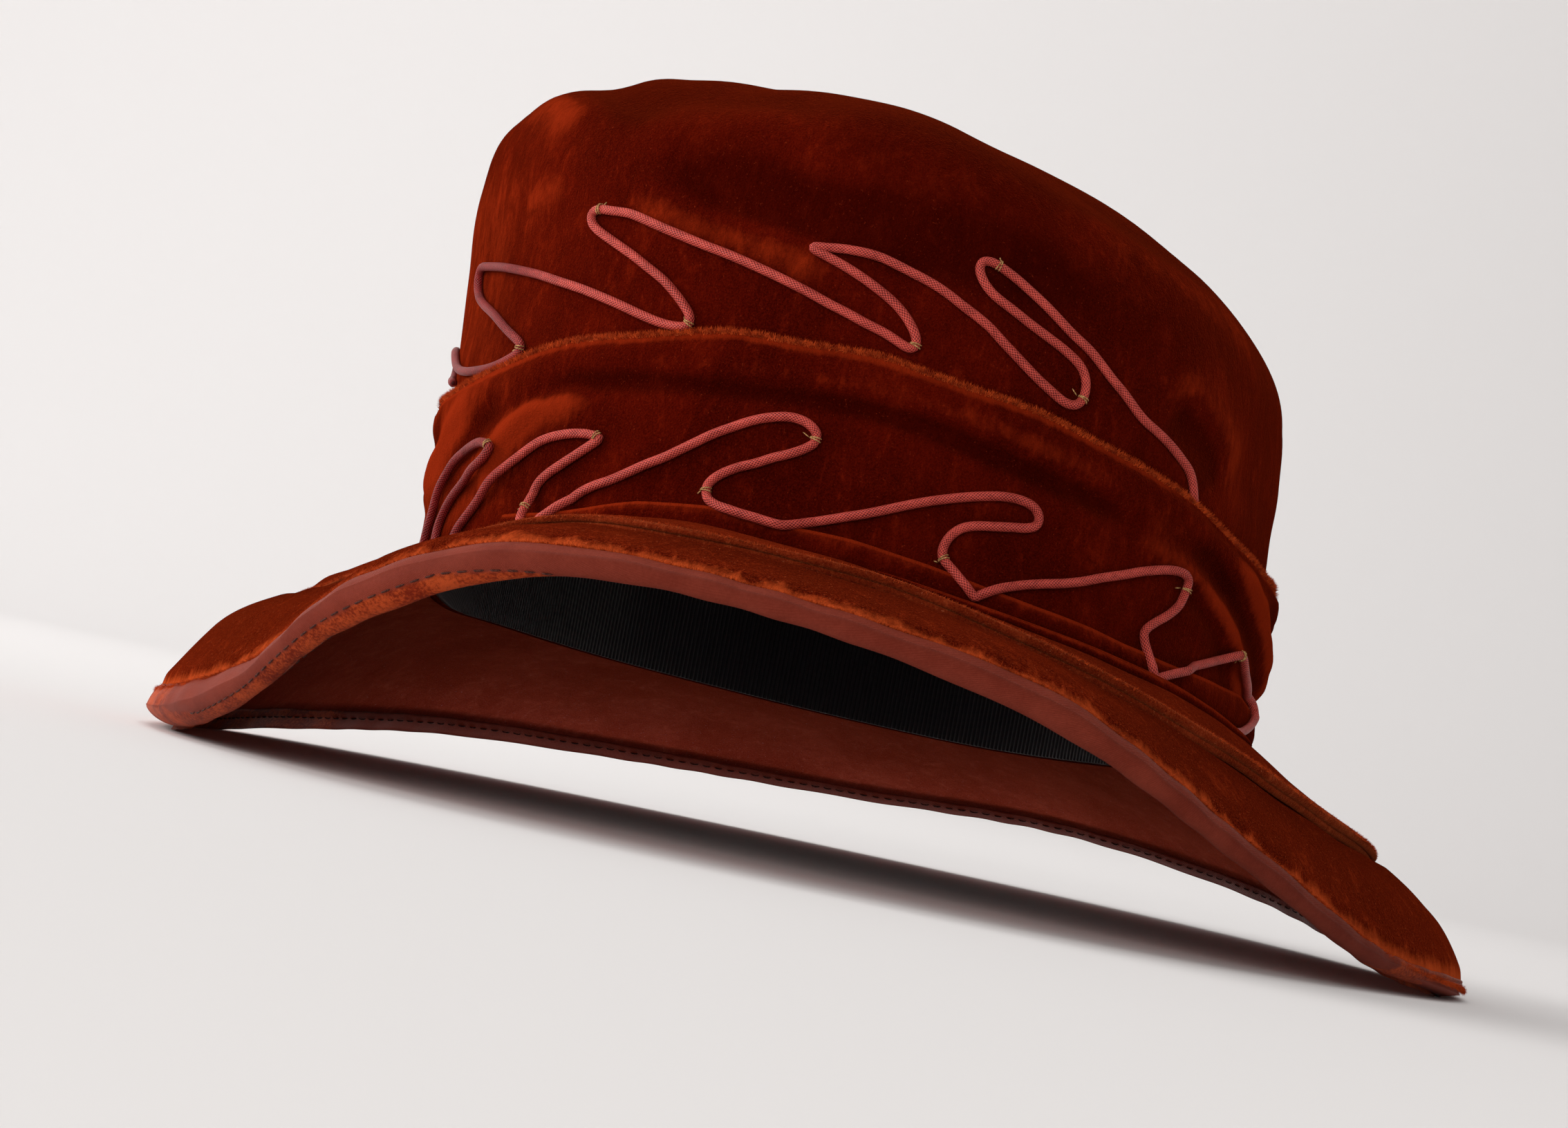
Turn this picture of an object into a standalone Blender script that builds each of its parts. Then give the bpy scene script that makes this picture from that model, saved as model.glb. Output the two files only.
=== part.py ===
"""A draped velvet cloche hat, resting on the tips of its drooping brim and on the brim's back edge.

Metres, +Z up, the hat's front at -Y and the wearer's left at +X. Each piece is worked out in the hat's own
frame, whose headline (the seam of crown and brim) is level, and settle() then tips the whole hat back
until its brim rests on the floor. Azimuths are in degrees round the head: 0 at the front, 90 at +X.
"""
import math

import bpy
import numpy as np

# Driving sizes
HEAD_WIDTH = 0.182
HEAD_DEPTH = 0.208
CROWN_HEIGHT = 0.1065
BRIM_WIDTH = 0.072
CROWN_WALL = 0.0020
BAND_WALL = 0.0015
BRIM_WALL = 0.0012
FOLD_WALL = 0.0013
BINDING_WALL = 0.0009
BINDING_WIDTH = 0.0075
BINDING_NOSE = 0.0014
SWEATBAND_WALL = 0.0010
SWEATBAND_WIDTH = 0.028
CORD_DIAMETER = 0.0020
CLEARANCE = 0.0003
SEAT_SINK = 0.0010

# How the forms are shared out
HEAD_SQUARENESS = 2.15
CROWN_LEAN = 0.035
CROWN_TOP_TILT = 0.055
BAND_PUFF = 0.0034
RIDGE_RISE = 0.0030
PLEAT_OUT = 0.0008
CORD_GAP = 0.0005
SEAM_EASE = 6

# Crown profile, from the headline to the middle of the top. Each row gives a share of the head's radius and
# of the crown's height, on the square left side and on the sloping right side.
PROFILE_COLUMNS = ("square_radius", "square_height", "slope_radius", "slope_height")
PROFILE = (
    (1.000, 0.000, 1.000, 0.000),
    (1.008, 0.185, 1.004, 0.185),
    (1.020, 0.370, 1.010, 0.370),
    (1.036, 0.555, 1.008, 0.555),
    (1.052, 0.730, 0.980, 0.695),
    (1.015, 0.865, 0.900, 0.805),
    (0.875, 0.950, 0.745, 0.895),
    (0.640, 0.985, 0.540, 0.955),
    (0.340, 1.000, 0.280, 0.990),
    (0.000, 1.000, 0.000, 1.000),
)
WALL_ROW_HEIGHT = 0.185

# Round the crown: how much of the sloping profile it has, and how much its shoulder drops.
CROWN_COLUMNS = ("azimuth", "slope_share", "shoulder_rise")
CROWN = (
    (-180, 0.45, 0.000),
    (-150, 0.35, 0.000),
    (-120, 0.15, 0.000),
    (-90, 0.00, -0.010),
    (-60, 0.05, -0.045),
    (-30, 0.20, -0.045),
    (0, 0.40, -0.012),
    (30, 0.65, -0.045),
    (60, 0.90, -0.055),
    (90, 1.00, -0.030),
    (120, 0.90, 0.000),
    (150, 0.65, 0.000),
)

# Dents of the crown: middle azimuth and profile share, their spreads, and a depth as a share of the height.
DENT_COLUMNS = ("azimuth", "climb", "azimuth_spread", "climb_spread", "depth")
DENTS = (
    (-24, 0.60, 16, 0.075, 0.026),
    (35, 0.52, 22, 0.080, 0.012),
    (64, 0.30, 9, 0.080, 0.014),
    (165, 0.62, 24, 0.080, 0.018),
)

# Round the brim: the seam's drop below the headline, where the edge lies out from the seam and down from
# the headline, as shares of the brim's width, and the brim's slopes in degrees at the seam and at the edge.
BRIM_COLUMNS = ("azimuth", "seam_drop", "edge_out", "edge_drop", "root_slope", "edge_slope")
BRIM = (
    (-180, 0.030, 0.720, 0.207, 6, 24),
    (-160, 0.030, 0.740, 0.257, 8, 34),
    (-140, 0.050, 0.780, 0.353, 10, 44),
    (-120, 0.080, 0.770, 0.520, 12, 54),
    (-100, 0.125, 0.700, 0.670, 7, 64),
    (-80, 0.135, 0.630, 0.755, 13, 70),
    (-60, 0.135, 0.575, 0.790, 25, 70),
    (-45, 0.115, 0.605, 0.722, 25, 60),
    (-30, 0.095, 0.735, 0.528, 12, 46),
    (-15, 0.065, 0.805, 0.347, 4, 36),
    (0, 0.065, 0.794, 0.332, 6, 34),
    (20, 0.095, 0.760, 0.428, 16, 38),
    (40, 0.110, 0.680, 0.617, 20, 52),
    (60, 0.125, 0.668, 0.735, 27, 64),
    (80, 0.115, 0.738, 0.718, 39, 70),
    (100, 0.110, 0.775, 0.640, 42, 64),
    (120, 0.080, 0.800, 0.490, 34, 46),
    (140, 0.050, 0.820, 0.296, 16, 30),
    (160, 0.040, 0.774, 0.182, 8, 22),
)

# The upper fold of the brim: how far it comes out from the seam, as a share of the brim's width.
UPPER_FOLD_COLUMNS = ("azimuth", "reach")
UPPER_FOLD = (
    (-180, 0.53),
    (-150, 0.53),
    (-120, 0.49),
    (-90, 0.40),
    (-60, 0.37),
    (-45, 0.43),
    (-30, 0.53),
    (-15, 0.56),
    (0, 0.55),
    (20, 0.54),
    (60, 0.53),
    (100, 0.53),
    (140, 0.53),
)

# Round the draped band: its top edge as a share of the crown's height, and how far its low and high parts
# puff out, as shares of the puff.
BAND_COLUMNS = ("azimuth", "top", "low_puff", "high_puff")
BAND = (
    (-180, 0.340, 0.75, 0.90),
    (-150, 0.330, 0.75, 0.90),
    (-120, 0.310, 0.65, 0.90),
    (-90, 0.290, 0.45, 0.85),
    (-60, 0.278, 0.60, 0.90),
    (-45, 0.295, 0.80, 1.00),
    (-30, 0.342, 0.80, 0.90),
    (-10, 0.374, 0.80, 0.85),
    (10, 0.376, 0.80, 0.85),
    (30, 0.356, 0.80, 0.90),
    (45, 0.333, 0.75, 1.00),
    (60, 0.295, 0.65, 1.10),
    (90, 0.300, 0.45, 1.15),
    (120, 0.315, 0.60, 1.05),
    (150, 0.330, 0.75, 0.90),
)
BAND_STEP_LOW = 0.24
BAND_STEP_HIGH = 0.40

# Folds across the band: both ends as an azimuth and a share of the band's height, then width as a share of
# the crown's height and rise (below 0 a valley) as a share of the puff.
FOLD_COLUMNS = ("azimuth", "share", "end_azimuth", "end_share", "width", "rise")
FOLDS = (
    (-70, 0.76, 0, 0.80, 0.034, -0.24),
    (0, 0.80, 62, 0.72, 0.034, -0.24),
    (46, 0.64, 84, 0.22, 0.040, 0.24),
    (58, 0.62, 94, 0.34, 0.038, -0.22),
    (-50, 0.16, -37, 0.66, 0.040, 0.24),
    (-60, 0.30, -50, 0.74, 0.038, -0.22),
    (120, 0.70, 175, 0.40, 0.040, -0.24),
    (-176, 0.66, -115, 0.34, 0.040, -0.24),
)

# The small pleat over the band's foot: its top edge as a share of the crown's height.
PLEAT_COLUMNS = ("azimuth", "top")
PLEAT = (
    (-37, 0.061),
    (-20, 0.066),
    (0, 0.060),
    (20, 0.063),
    (40, 0.061),
    (55, 0.060),
    (70, 0.062),
    (84, 0.061),
)

# Couched cords, laid out by hand as azimuth and climb: a share of the way along the crown's profile, or of
# the crown's height on the band.
CROWN_CORD_FRONT = (
    (44.5, 0.226), (42.5, 0.229), (39.5, 0.239), (35.5, 0.252), (31.0, 0.274), (27.5, 0.299), (23.0, 0.324),
    (18.7, 0.350), (14.8, 0.374), (13.2, 0.379), (12.2, 0.370), (12.2, 0.358), (13.4, 0.343), (16.8, 0.321),
    (20.1, 0.309), (23.6, 0.298), (26.4, 0.284), (27.6, 0.268), (27.5, 0.254), (26.4, 0.245), (24.3, 0.247),
    (20.2, 0.266), (17.6, 0.280), (14.2, 0.296), (11.5, 0.315), (7.7, 0.331), (4.1, 0.337), (0.5, 0.343),
    (-3.0, 0.346), (-5.5, 0.341), (-4.3, 0.335), (-1.8, 0.329), (1.3, 0.314), (4.0, 0.299), (6.2, 0.284),
    (7.7, 0.267), (8.4, 0.254), (7.6, 0.247), (5.3, 0.252), (-2.0, 0.277), (-6.3, 0.289), (-10.6, 0.304),
    (-15.1, 0.319), (-19.6, 0.334), (-23.6, 0.348), (-27.8, 0.361), (-31.3, 0.365), (-33.3, 0.357),
    (-31.9, 0.347), (-28.3, 0.329), (-23.8, 0.307), (-20.6, 0.283), (-18.2, 0.263), (-16.8, 0.246),
    (-17.2, 0.234), (-18.7, 0.231), (-22.5, 0.239), (-27.8, 0.253), (-33.7, 0.270), (-41.0, 0.288),
    (-47.2, 0.301), (-52.0, 0.304), (-54.0, 0.293), (-51.0, 0.264), (-47.2, 0.240), (-42.9, 0.217),
    (-41.0, 0.206), (-43.0, 0.197), (-48.0, 0.190), (-54.0, 0.191), (-62.0, 0.203), (-69.0, 0.222),
    (-75.0, 0.244), (-80.0, 0.250), (-83.0, 0.236), (-80.0, 0.216), (-74.0, 0.203), (-68.0, 0.192),
)
CROWN_CORD_BACK = (
    (106.0, 0.216), (104.0, 0.224), (105.5, 0.250), (110.5, 0.300), (117.0, 0.360), (123.0, 0.405), (127.5, 0.400), (127.0, 0.375), (121.0, 0.320), (117.5, 0.262),
    (120.5, 0.232), (127.0, 0.232), (135.0, 0.262), (145.0, 0.305), (154.0, 0.345), (159.5, 0.345),
    (160.0, 0.325), (154.0, 0.285), (151.0, 0.245), (155.0, 0.229), (163.0, 0.240), (172.0, 0.280),
    (182.0, 0.320), (190.0, 0.338), (193.5, 0.325), (189.0, 0.290), (185.0, 0.250), (188.0, 0.229),
    (196.0, 0.240), (206.0, 0.275), (216.0, 0.315), (223.0, 0.330), (226.0, 0.317), (222.0, 0.280),
    (219.0, 0.240), (222.0, 0.218), (230.0, 0.222), (239.0, 0.246), (246.0, 0.262), (249.0, 0.250),
    (247.0, 0.224), (248.0, 0.200),
)
BAND_CORD_FRONT = (
    (-64.0, 0.014), (-60.5, 0.015), (-57.0, 0.023), (-54.6, 0.038), (-53.0, 0.056), (-51.5, 0.081), (-49.4, 0.115), (-47.1, 0.139), (-44.6, 0.155), (-42.4, 0.156),
    (-41.6, 0.148), (-42.2, 0.130), (-43.7, 0.109), (-46.4, 0.088), (-49.0, 0.068), (-50.6, 0.045),
    (-48.6, 0.023), (-45.2, 0.029), (-42.7, 0.055), (-40.0, 0.083), (-37.5, 0.119), (-35.0, 0.141),
    (-32.6, 0.161), (-29.4, 0.173), (-26.6, 0.175), (-24.8, 0.168), (-25.0, 0.158), (-26.6, 0.136),
    (-28.8, 0.119), (-30.8, 0.106), (-32.5, 0.091), (-33.3, 0.070), (-33.0, 0.052), (-31.6, 0.043),
    (-28.6, 0.047), (-27.2, 0.062), (-25.4, 0.079), (-23.0, 0.098), (-20.4, 0.116), (-17.9, 0.136),
    (-15.6, 0.153), (-13.2, 0.173), (-11.0, 0.198), (-8.8, 0.218), (-6.5, 0.235), (-4.1, 0.242),
    (-2.1, 0.238), (-0.9, 0.224), (-1.0, 0.207), (-2.7, 0.174), (-5.0, 0.157), (-7.3, 0.144),
    (-9.7, 0.126), (-11.2, 0.108), (-11.6, 0.092), (-11.0, 0.077), (-9.6, 0.069), (-7.5, 0.065),
    (-5.0, 0.061), (-2.2, 0.065), (0.8, 0.077), (4.2, 0.098), (8.0, 0.127), (11.9, 0.154), (16.0, 0.182),
    (19.3, 0.200), (21.7, 0.202), (23.6, 0.194), (24.0, 0.178), (23.2, 0.165), (20.8, 0.155),
    (17.9, 0.144), (15.8, 0.127), (14.6, 0.104), (14.2, 0.082), (14.6, 0.070), (16.2, 0.062),
    (18.4, 0.060), (21.0, 0.065), (24.3, 0.077), (28.9, 0.101), (33.9, 0.133), (38.1, 0.163),
    (42.4, 0.187), (45.3, 0.191), (46.3, 0.179), (46.2, 0.161), (45.9, 0.141), (44.0, 0.114),
    (41.9, 0.085), (41.0, 0.063), (43.0, 0.051), (46.6, 0.054), (50.0, 0.065), (54.0, 0.084),
    (58.5, 0.104), (62.0, 0.112), (64.6, 0.107), (68.0, 0.091), (70.6, 0.065), (68.6, 0.039),
    (64.5, 0.031), (60.0, 0.029),
)
BAND_CORD_BACK = (
    (104.0, 0.000), (104.5, 0.030), (109.0, 0.048), (117.0, 0.110), (126.0, 0.175), (133.0, 0.200),
    (137.0, 0.180), (134.0, 0.120), (132.0, 0.065), (137.0, 0.035), (144.0, 0.060), (152.0, 0.125),
    (161.0, 0.190), (169.0, 0.210), (173.0, 0.185), (169.0, 0.120), (167.0, 0.065), (172.0, 0.038),
    (179.0, 0.065), (188.0, 0.130), (197.0, 0.190), (205.0, 0.205), (209.0, 0.180), (205.0, 0.120),
    (203.0, 0.060), (208.0, 0.035), (215.0, 0.060), (223.0, 0.120), (231.0, 0.165), (238.0, 0.175),
    (241.0, 0.155), (239.0, 0.100), (238.5, 0.050), (240.0, 0.010),
)

# How finely each piece is divided: steps round the head, and rows across the cloth as shares of its width.
CROWN_STEPS = (44, 10)
BAND_TURNS = 56
BAND_ROWS = 7
PLEAT_TURNS = 22
BRIM_TURNS = 54
BRIM_ROWS = (0.955, 0.896, 0.71, 0.53, 0.40, 0.25, 0.12, 0.012)
BRIM_FOLD_ROWS = (0.53, 0.40, 0.25, 0.08)
CORD_STEP_SCALE = np.array([1 / 6.0, 1 / 0.09])

COLOURS = {
    "velvet": (0.110, 0.010, 0.004, 1.0),
    "velvet_light": (0.190, 0.030, 0.012, 1.0),
    "binding": (0.210, 0.055, 0.032, 1.0),
    "cord": (0.400, 0.090, 0.080, 1.0),
    "ribbon": (0.010, 0.009, 0.010, 1.0),
}


def column(table, columns, name):
    """One named column of a table."""
    return np.array([row[columns.index(name)] for row in table], float)


def hermite(left, right, left_slope, right_slope, share):
    """A cubic from left to right with the given slopes per step."""
    a, b = share * share, share ** 3
    return ((2 * b - 3 * a + 1) * left + (b - 2 * a + share) * left_slope
            + (3 * a - 2 * b) * right + (b - a) * right_slope)


def around(table, columns, name, azimuth):
    """A column read smoothly at any azimuth, round the whole head."""
    stations = column(table, columns, "azimuth")
    values = np.tile(column(table, columns, name), 3)
    stations = np.concatenate([stations - 360, stations, stations + 360])
    turn = (np.asarray(azimuth, float) + 180) % 360 - 180
    i = np.clip(np.searchsorted(stations, turn, side="right") - 1, 1, len(stations) - 3)
    step = stations[i + 1] - stations[i]
    slope_left = (values[i + 1] - values[i - 1]) / (stations[i + 1] - stations[i - 1]) * step
    slope_right = (values[i + 2] - values[i]) / (stations[i + 2] - stations[i]) * step
    return hermite(values[i], values[i + 1], slope_left, slope_right, (turn - stations[i]) / step)


def direction(azimuth):
    """X and Y of the unit vector that points out from the head at an azimuth."""
    turn = np.radians(azimuth)
    return np.sin(turn), -np.cos(turn)


def head_radius(azimuth):
    """The headline's radius: a slightly squared oval."""
    x, y = direction(azimuth)
    n = HEAD_SQUARENESS
    return (np.abs(2 * x / HEAD_WIDTH) ** n + np.abs(2 * y / HEAD_DEPTH) ** n) ** (-1 / n)


def seam_drop(azimuth):
    return BRIM_WIDTH * around(BRIM, BRIM_COLUMNS, "seam_drop", azimuth)


def profile_row(climb):
    """The crown's profile row at a climb from 0 to 1, smoothed through the table's rows."""
    rows = np.array(PROFILE, float)
    rows = np.vstack([2 * rows[0] - rows[1], rows, 2 * rows[-1] - rows[-2]])
    place = np.clip(np.asarray(climb, float), -0.05, 1) * (len(PROFILE) - 1)
    i = np.clip(np.floor(place).astype(int), 0, len(PROFILE) - 2)
    share = (place - i)[..., None]
    before, left, right, after = rows[i], rows[i + 1], rows[i + 2], rows[i + 3]
    return hermite(left, right, (right - before) / 2, (after - left) / 2, share)


def crown_base(azimuth, climb):
    """The crown's outer surface without its dents."""
    row = profile_row(climb)
    slope_share = around(CROWN, CROWN_COLUMNS, "slope_share", azimuth)
    radius = row[..., 0] * (1 - slope_share) + row[..., 2] * slope_share
    height = row[..., 1] * (1 - slope_share) + row[..., 3] * slope_share
    x, y = (head_radius(azimuth) * radius * part for part in direction(azimuth))
    rise = around(CROWN, CROWN_COLUMNS, "shoulder_rise", azimuth) * radius ** 2
    z = CROWN_HEIGHT * height * (1 + rise) - CROWN_TOP_TILT * x * height ** 2
    z = z - seam_drop(azimuth) * np.clip(1 - height, 0, None) ** SEAM_EASE
    return np.stack([x - CROWN_LEAN * z, y, z], -1)


def surface_normal(surface, azimuth, climb):
    """The outward normal of a surface, from small steps along its two parameters."""
    step = 0.002
    along = surface(azimuth + 1, climb) - surface(azimuth - 1, climb)
    up = surface(azimuth, np.minimum(climb + step, 0.999)) - surface(azimuth, climb - step)
    normal = np.cross(along, up)
    return normal / np.linalg.norm(normal, axis=-1, keepdims=True)


def crown_point(azimuth, climb, lift=0.0):
    """A point over the crown, lifted off it along its normal."""
    azimuth, climb = np.broadcast_arrays(np.asarray(azimuth, float), np.asarray(climb, float))
    depth = 0.0
    for middle, height, spread, climb_spread, share in DENTS:
        turn = (azimuth - middle + 180) % 360 - 180
        depth = depth + share * CROWN_HEIGHT * np.exp(
            -(turn / spread) ** 2 - ((climb - height) / climb_spread) ** 2)
    normal = surface_normal(crown_base, azimuth, np.minimum(climb, 0.98))
    return crown_base(azimuth, climb) + normal * (lift - depth)[..., None]


def wall_point(azimuth, height, lift=0.0):
    """A point over the crown's upright wall at a share of the crown's height, lifted off it."""
    azimuth, height = np.broadcast_arrays(np.asarray(azimuth, float), np.asarray(height, float))
    point = crown_base(azimuth, height / WALL_ROW_HEIGHT / (len(PROFILE) - 1))
    x, y = direction(azimuth)
    point[..., 0] += lift * x
    point[..., 1] += lift * y
    return point


def smooth_step(low, high, value):
    share = np.clip((value - low) / (high - low), 0, 1)
    return share * share * (3 - 2 * share)


def band_foot(azimuth):
    """The band's lower edge, as a share of the crown's height: it stands on the brim."""
    return (brim_top_lift() + 2 * CLEARANCE) / (CROWN_HEIGHT + SEAM_EASE * seam_drop(azimuth))


def fold_relief(azimuth, share, height):
    """The sum of the folds at a place on the band, as a share of the puff."""
    mean_radius = (HEAD_WIDTH + HEAD_DEPTH) / 4
    relief = 0.0
    for start, low, end, high, width, rise in FOLDS:
        turn = (azimuth - start + 180) % 360 - 180
        run = (end - start + 180) % 360 - 180
        across = math.radians(1) * mean_radius
        tall = height * CROWN_HEIGHT
        length = (run * across) ** 2 + ((high - low) * tall) ** 2
        along = np.clip((turn * across * run * across + (share - low) * (high - low) * tall * tall) / length,
                        -0.1, 1.1)
        away = np.hypot((turn - along * run) * across, (share - low - along * (high - low)) * tall)
        fade = smooth_step(-0.1, 0.15, along) * smooth_step(1.1, 0.85, along)
        relief = relief + rise * fade * np.exp(-(away / (width * CROWN_HEIGHT)) ** 2)
    return relief


def band_lift(azimuth, share):
    """How far the band's outer face stands off the crown, at a share of the band's height."""
    low = around(BAND, BAND_COLUMNS, "low_puff", azimuth)
    high = around(BAND, BAND_COLUMNS, "high_puff", azimuth)
    top = around(BAND, BAND_COLUMNS, "top", azimuth)
    puff = low + (high - low) * smooth_step(BAND_STEP_LOW, BAND_STEP_HIGH, share)
    puff = puff + fold_relief(azimuth, share, top - band_foot(azimuth))
    puff = puff * (1 - 0.35 * smooth_step(0.92, 1.0, share))
    return np.maximum(BAND_PUFF * puff, BAND_WALL + CLEARANCE)


def band_point(azimuth, share, lift=0.0):
    """A point over the band's outer face."""
    foot = band_foot(azimuth)
    top = around(BAND, BAND_COLUMNS, "top", azimuth)
    return wall_point(azimuth, foot + (top - foot) * share, band_lift(azimuth, share) + lift)


def pleat_lift(azimuth):
    """How far the pleat's outer face stands off the crown: over the fullest part of the band's foot."""
    fullest = np.max([band_lift(azimuth, share) for share in (0.0, 0.08, 0.16, 0.24)], axis=0)
    return fullest + CLEARANCE + BAND_WALL + PLEAT_OUT


def pleat_point(azimuth, share, lift=0.0):
    stations = column(PLEAT, PLEAT_COLUMNS, "azimuth")
    top = np.interp(azimuth, stations, column(PLEAT, PLEAT_COLUMNS, "top"))
    foot = band_foot(azimuth)
    return wall_point(azimuth, foot + (top - foot) * share, pleat_lift(azimuth) + lift)


def brim_foot_lift():
    """From the binding's outer face up to the brim cloth."""
    return BINDING_WALL + CLEARANCE


def brim_top_lift():
    return brim_foot_lift() + BRIM_WALL


def brim_section(azimuth, share):
    """Out, down and slope of the brim's underside: a cubic curve from seam to edge with the table's slopes."""
    seam, out, drop = (BRIM_WIDTH * around(BRIM, BRIM_COLUMNS, name, azimuth)
                       for name in ("seam_drop", "edge_out", "edge_drop"))
    root, edge = (np.radians(around(BRIM, BRIM_COLUMNS, name, azimuth)) for name in ("root_slope", "edge_slope"))
    handle = 0.36 * np.hypot(out, drop - seam)
    across = (0 * out, handle * np.cos(root), out - handle * np.cos(edge), out)
    down = (seam, seam + handle * np.sin(root), drop - handle * np.sin(edge), drop)
    keep = 1 - share
    weights = (keep ** 3, 3 * share * keep ** 2, 3 * share ** 2 * keep, share ** 3)
    rates = (-3 * keep ** 2, 3 * keep * (1 - 3 * share), 3 * share * (2 - 3 * share), 3 * share ** 2)
    place = [sum(w * p for w, p in zip(weights, points)) for points in (across, down)]
    rate = [sum(w * p for w, p in zip(rates, points)) for points in (across, down)]
    return place[0], place[1], np.arctan2(rate[1], rate[0])


def brim_point(azimuth, share, lift=0.0):
    """A point over the brim's underside, lifted off it square to its slope."""
    out, down, slope = brim_section(azimuth, share)
    radius = head_radius(azimuth) + out + lift * np.sin(slope)
    x, y = direction(azimuth)
    return np.stack([radius * x, radius * y, lift * np.cos(slope) - down], -1)


def brim_fold_point(azimuth, share):
    """A point on top of the brim's upper fold, whose root stays outside the band and its pleat."""
    over_pleat = smooth_step(-5, 0, azimuth - PLEAT[0][0]) * smooth_step(5, 0, azimuth - PLEAT[-1][0])
    inner = band_lift(azimuth, 0.0) + over_pleat * (pleat_lift(azimuth) - band_lift(azimuth, 0.0))
    root = (inner + 3 * CLEARANCE) / BRIM_WIDTH / 0.75
    share = share * around(UPPER_FOLD, UPPER_FOLD_COLUMNS, "reach", azimuth) / BRIM_FOLD_ROWS[0]
    share = np.maximum(share, root)
    return brim_point(azimuth, share, brim_top_lift() + CLEARANCE + FOLD_WALL + RIDGE_RISE * share ** 3)


def sweatband_point(azimuth, share):
    """A point on the ribbon's face against the crown."""
    return wall_point(azimuth, SWEATBAND_WIDTH * share / CROWN_HEIGHT, -CROWN_WALL - 2 * CLEARANCE)


def sheet_balance(surface, shares, layers):
    """The area of a sheet all round the head, times its layers, and that times its middle point."""
    azimuth = np.linspace(-180, 180, 73)
    grid = surface(*np.meshgrid(azimuth, shares))
    across = np.linalg.norm(np.cross(grid[:-1, 1:] - grid[:-1, :-1], grid[1:, :-1] - grid[:-1, :-1]), axis=-1)
    middle = (grid[:-1, :-1] + grid[1:, 1:]) / 2
    return layers * across.sum(), layers * (middle * across[..., None]).sum((0, 1))


def balance_point():
    """The middle of the hat's cloth: crown, band and brim, weighed by area and thickness."""
    parts = (
        sheet_balance(crown_base, np.linspace(0, 1, 21), CROWN_WALL),
        sheet_balance(band_point, np.linspace(0, 1, 7), BAND_WALL),
        sheet_balance(brim_point, np.linspace(0, 1, 11), BRIM_WALL),
        sheet_balance(brim_point, np.linspace(0, BRIM_FOLD_ROWS[0], 7), FOLD_WALL),
        sheet_balance(brim_point, np.linspace(BRIM_ROWS[1], 1, 3), 2 * BINDING_WALL),
    )
    return sum(moment for _, moment in parts) / sum(area for area, _ in parts)


def resting_turn():
    """The tilt and roll, in radians, at which the hat's weight stands over the lowest points of both sides."""
    azimuth = np.arange(-180.0, 180.0, 1.0)
    edge = brim_point(azimuth, 1.0)
    weight = balance_point()
    least, most, roll = 0.0, 0.35, 0.0
    for _ in range(30):
        tilt = (least + most) / 2
        for _ in range(4):
            turned = turn_points(edge, tilt, roll)
            left, right = (turned[side][np.argmin(turned[side][:, 2])] for side in (azimuth < 0, azimuth >= 0))
            roll += (left[2] - right[2]) / (right[0] - left[0])
        if (left[1] + right[1]) / 2 < turn_points(weight, tilt, roll)[1]:
            least = tilt
        else:
            most = tilt
    return tilt, roll


def turn_points(points, tilt, roll):
    """Roll about the front-to-back line, then tip back about the side-to-side line."""
    x = points[..., 0] * math.cos(roll) - points[..., 2] * math.sin(roll)
    z = points[..., 0] * math.sin(roll) + points[..., 2] * math.cos(roll)
    y = points[..., 1]
    return np.stack([x, y * math.cos(tilt) + z * math.sin(tilt), z * math.cos(tilt) - y * math.sin(tilt)], -1)


def binding_thickness():
    return 2 * (BINDING_WALL + CLEARANCE) + BRIM_WALL


def binding_rows():
    """The bias strip folded over the brim's edge: a U of nine corners, each carried round the brim."""
    azimuth = np.linspace(-180, 180, BRIM_TURNS, endpoint=False)
    reach = BINDING_WIDTH / BRIM_WIDTH
    thick = binding_thickness()
    # Each corner: share back from the edge, distance past the edge, lift
    corners = (
        (reach, 0.0, 0.0),
        (0.0, -0.5 * BINDING_NOSE, 0.0),
        (0.0, 0.0, 0.45 * thick),
        (0.0, -0.5 * BINDING_NOSE, thick),
        (reach, 0.0, thick),
        (reach, 0.0, thick - BINDING_WALL),
        (0.0, -1.4 * BINDING_NOSE, thick - BINDING_WALL),
        (0.0, -1.4 * BINDING_NOSE, BINDING_WALL),
        (reach, 0.0, BINDING_WALL),
    )
    slope = brim_section(azimuth, 1.0)[2]
    x, y = direction(azimuth)
    outward = np.stack([x * np.cos(slope), y * np.cos(slope), -np.sin(slope)], -1)
    return np.array([brim_point(azimuth, 1.0 - back, lift) + past * outward for back, past, lift in corners])


TILT, ROLL = resting_turn()


def rest_shift():
    """The move that sets the turned brim on the floor, with the box's middle at the origin."""
    turned = turn_points(binding_rows().reshape(-1, 3), TILT, ROLL)
    middle = (turned.max(0) + turned.min(0)) / 2
    return np.array([-middle[0], -middle[1], -turned[:, 2].min() - SEAT_SINK])


SHIFT = rest_shift()


def settle(points):
    """The hat's own frame to the resting hat, with the cloth pressed flat where it meets the floor."""
    placed = turn_points(points, TILT, ROLL) + SHIFT
    placed[..., 2] = np.maximum(placed[..., 2], 0.0)
    return placed


def add_mesh(name, points, faces, colour):
    """A mesh object of its own with a plain cloth material."""
    mesh = bpy.data.meshes.new(name)
    mesh.from_pydata([tuple(p) for p in points], [], faces)
    mesh.update()
    mesh.shade_smooth()
    piece = bpy.data.objects.new(name, mesh)
    HAT.objects.link(piece)
    piece.data.materials.append(material(colour))
    return piece


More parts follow.
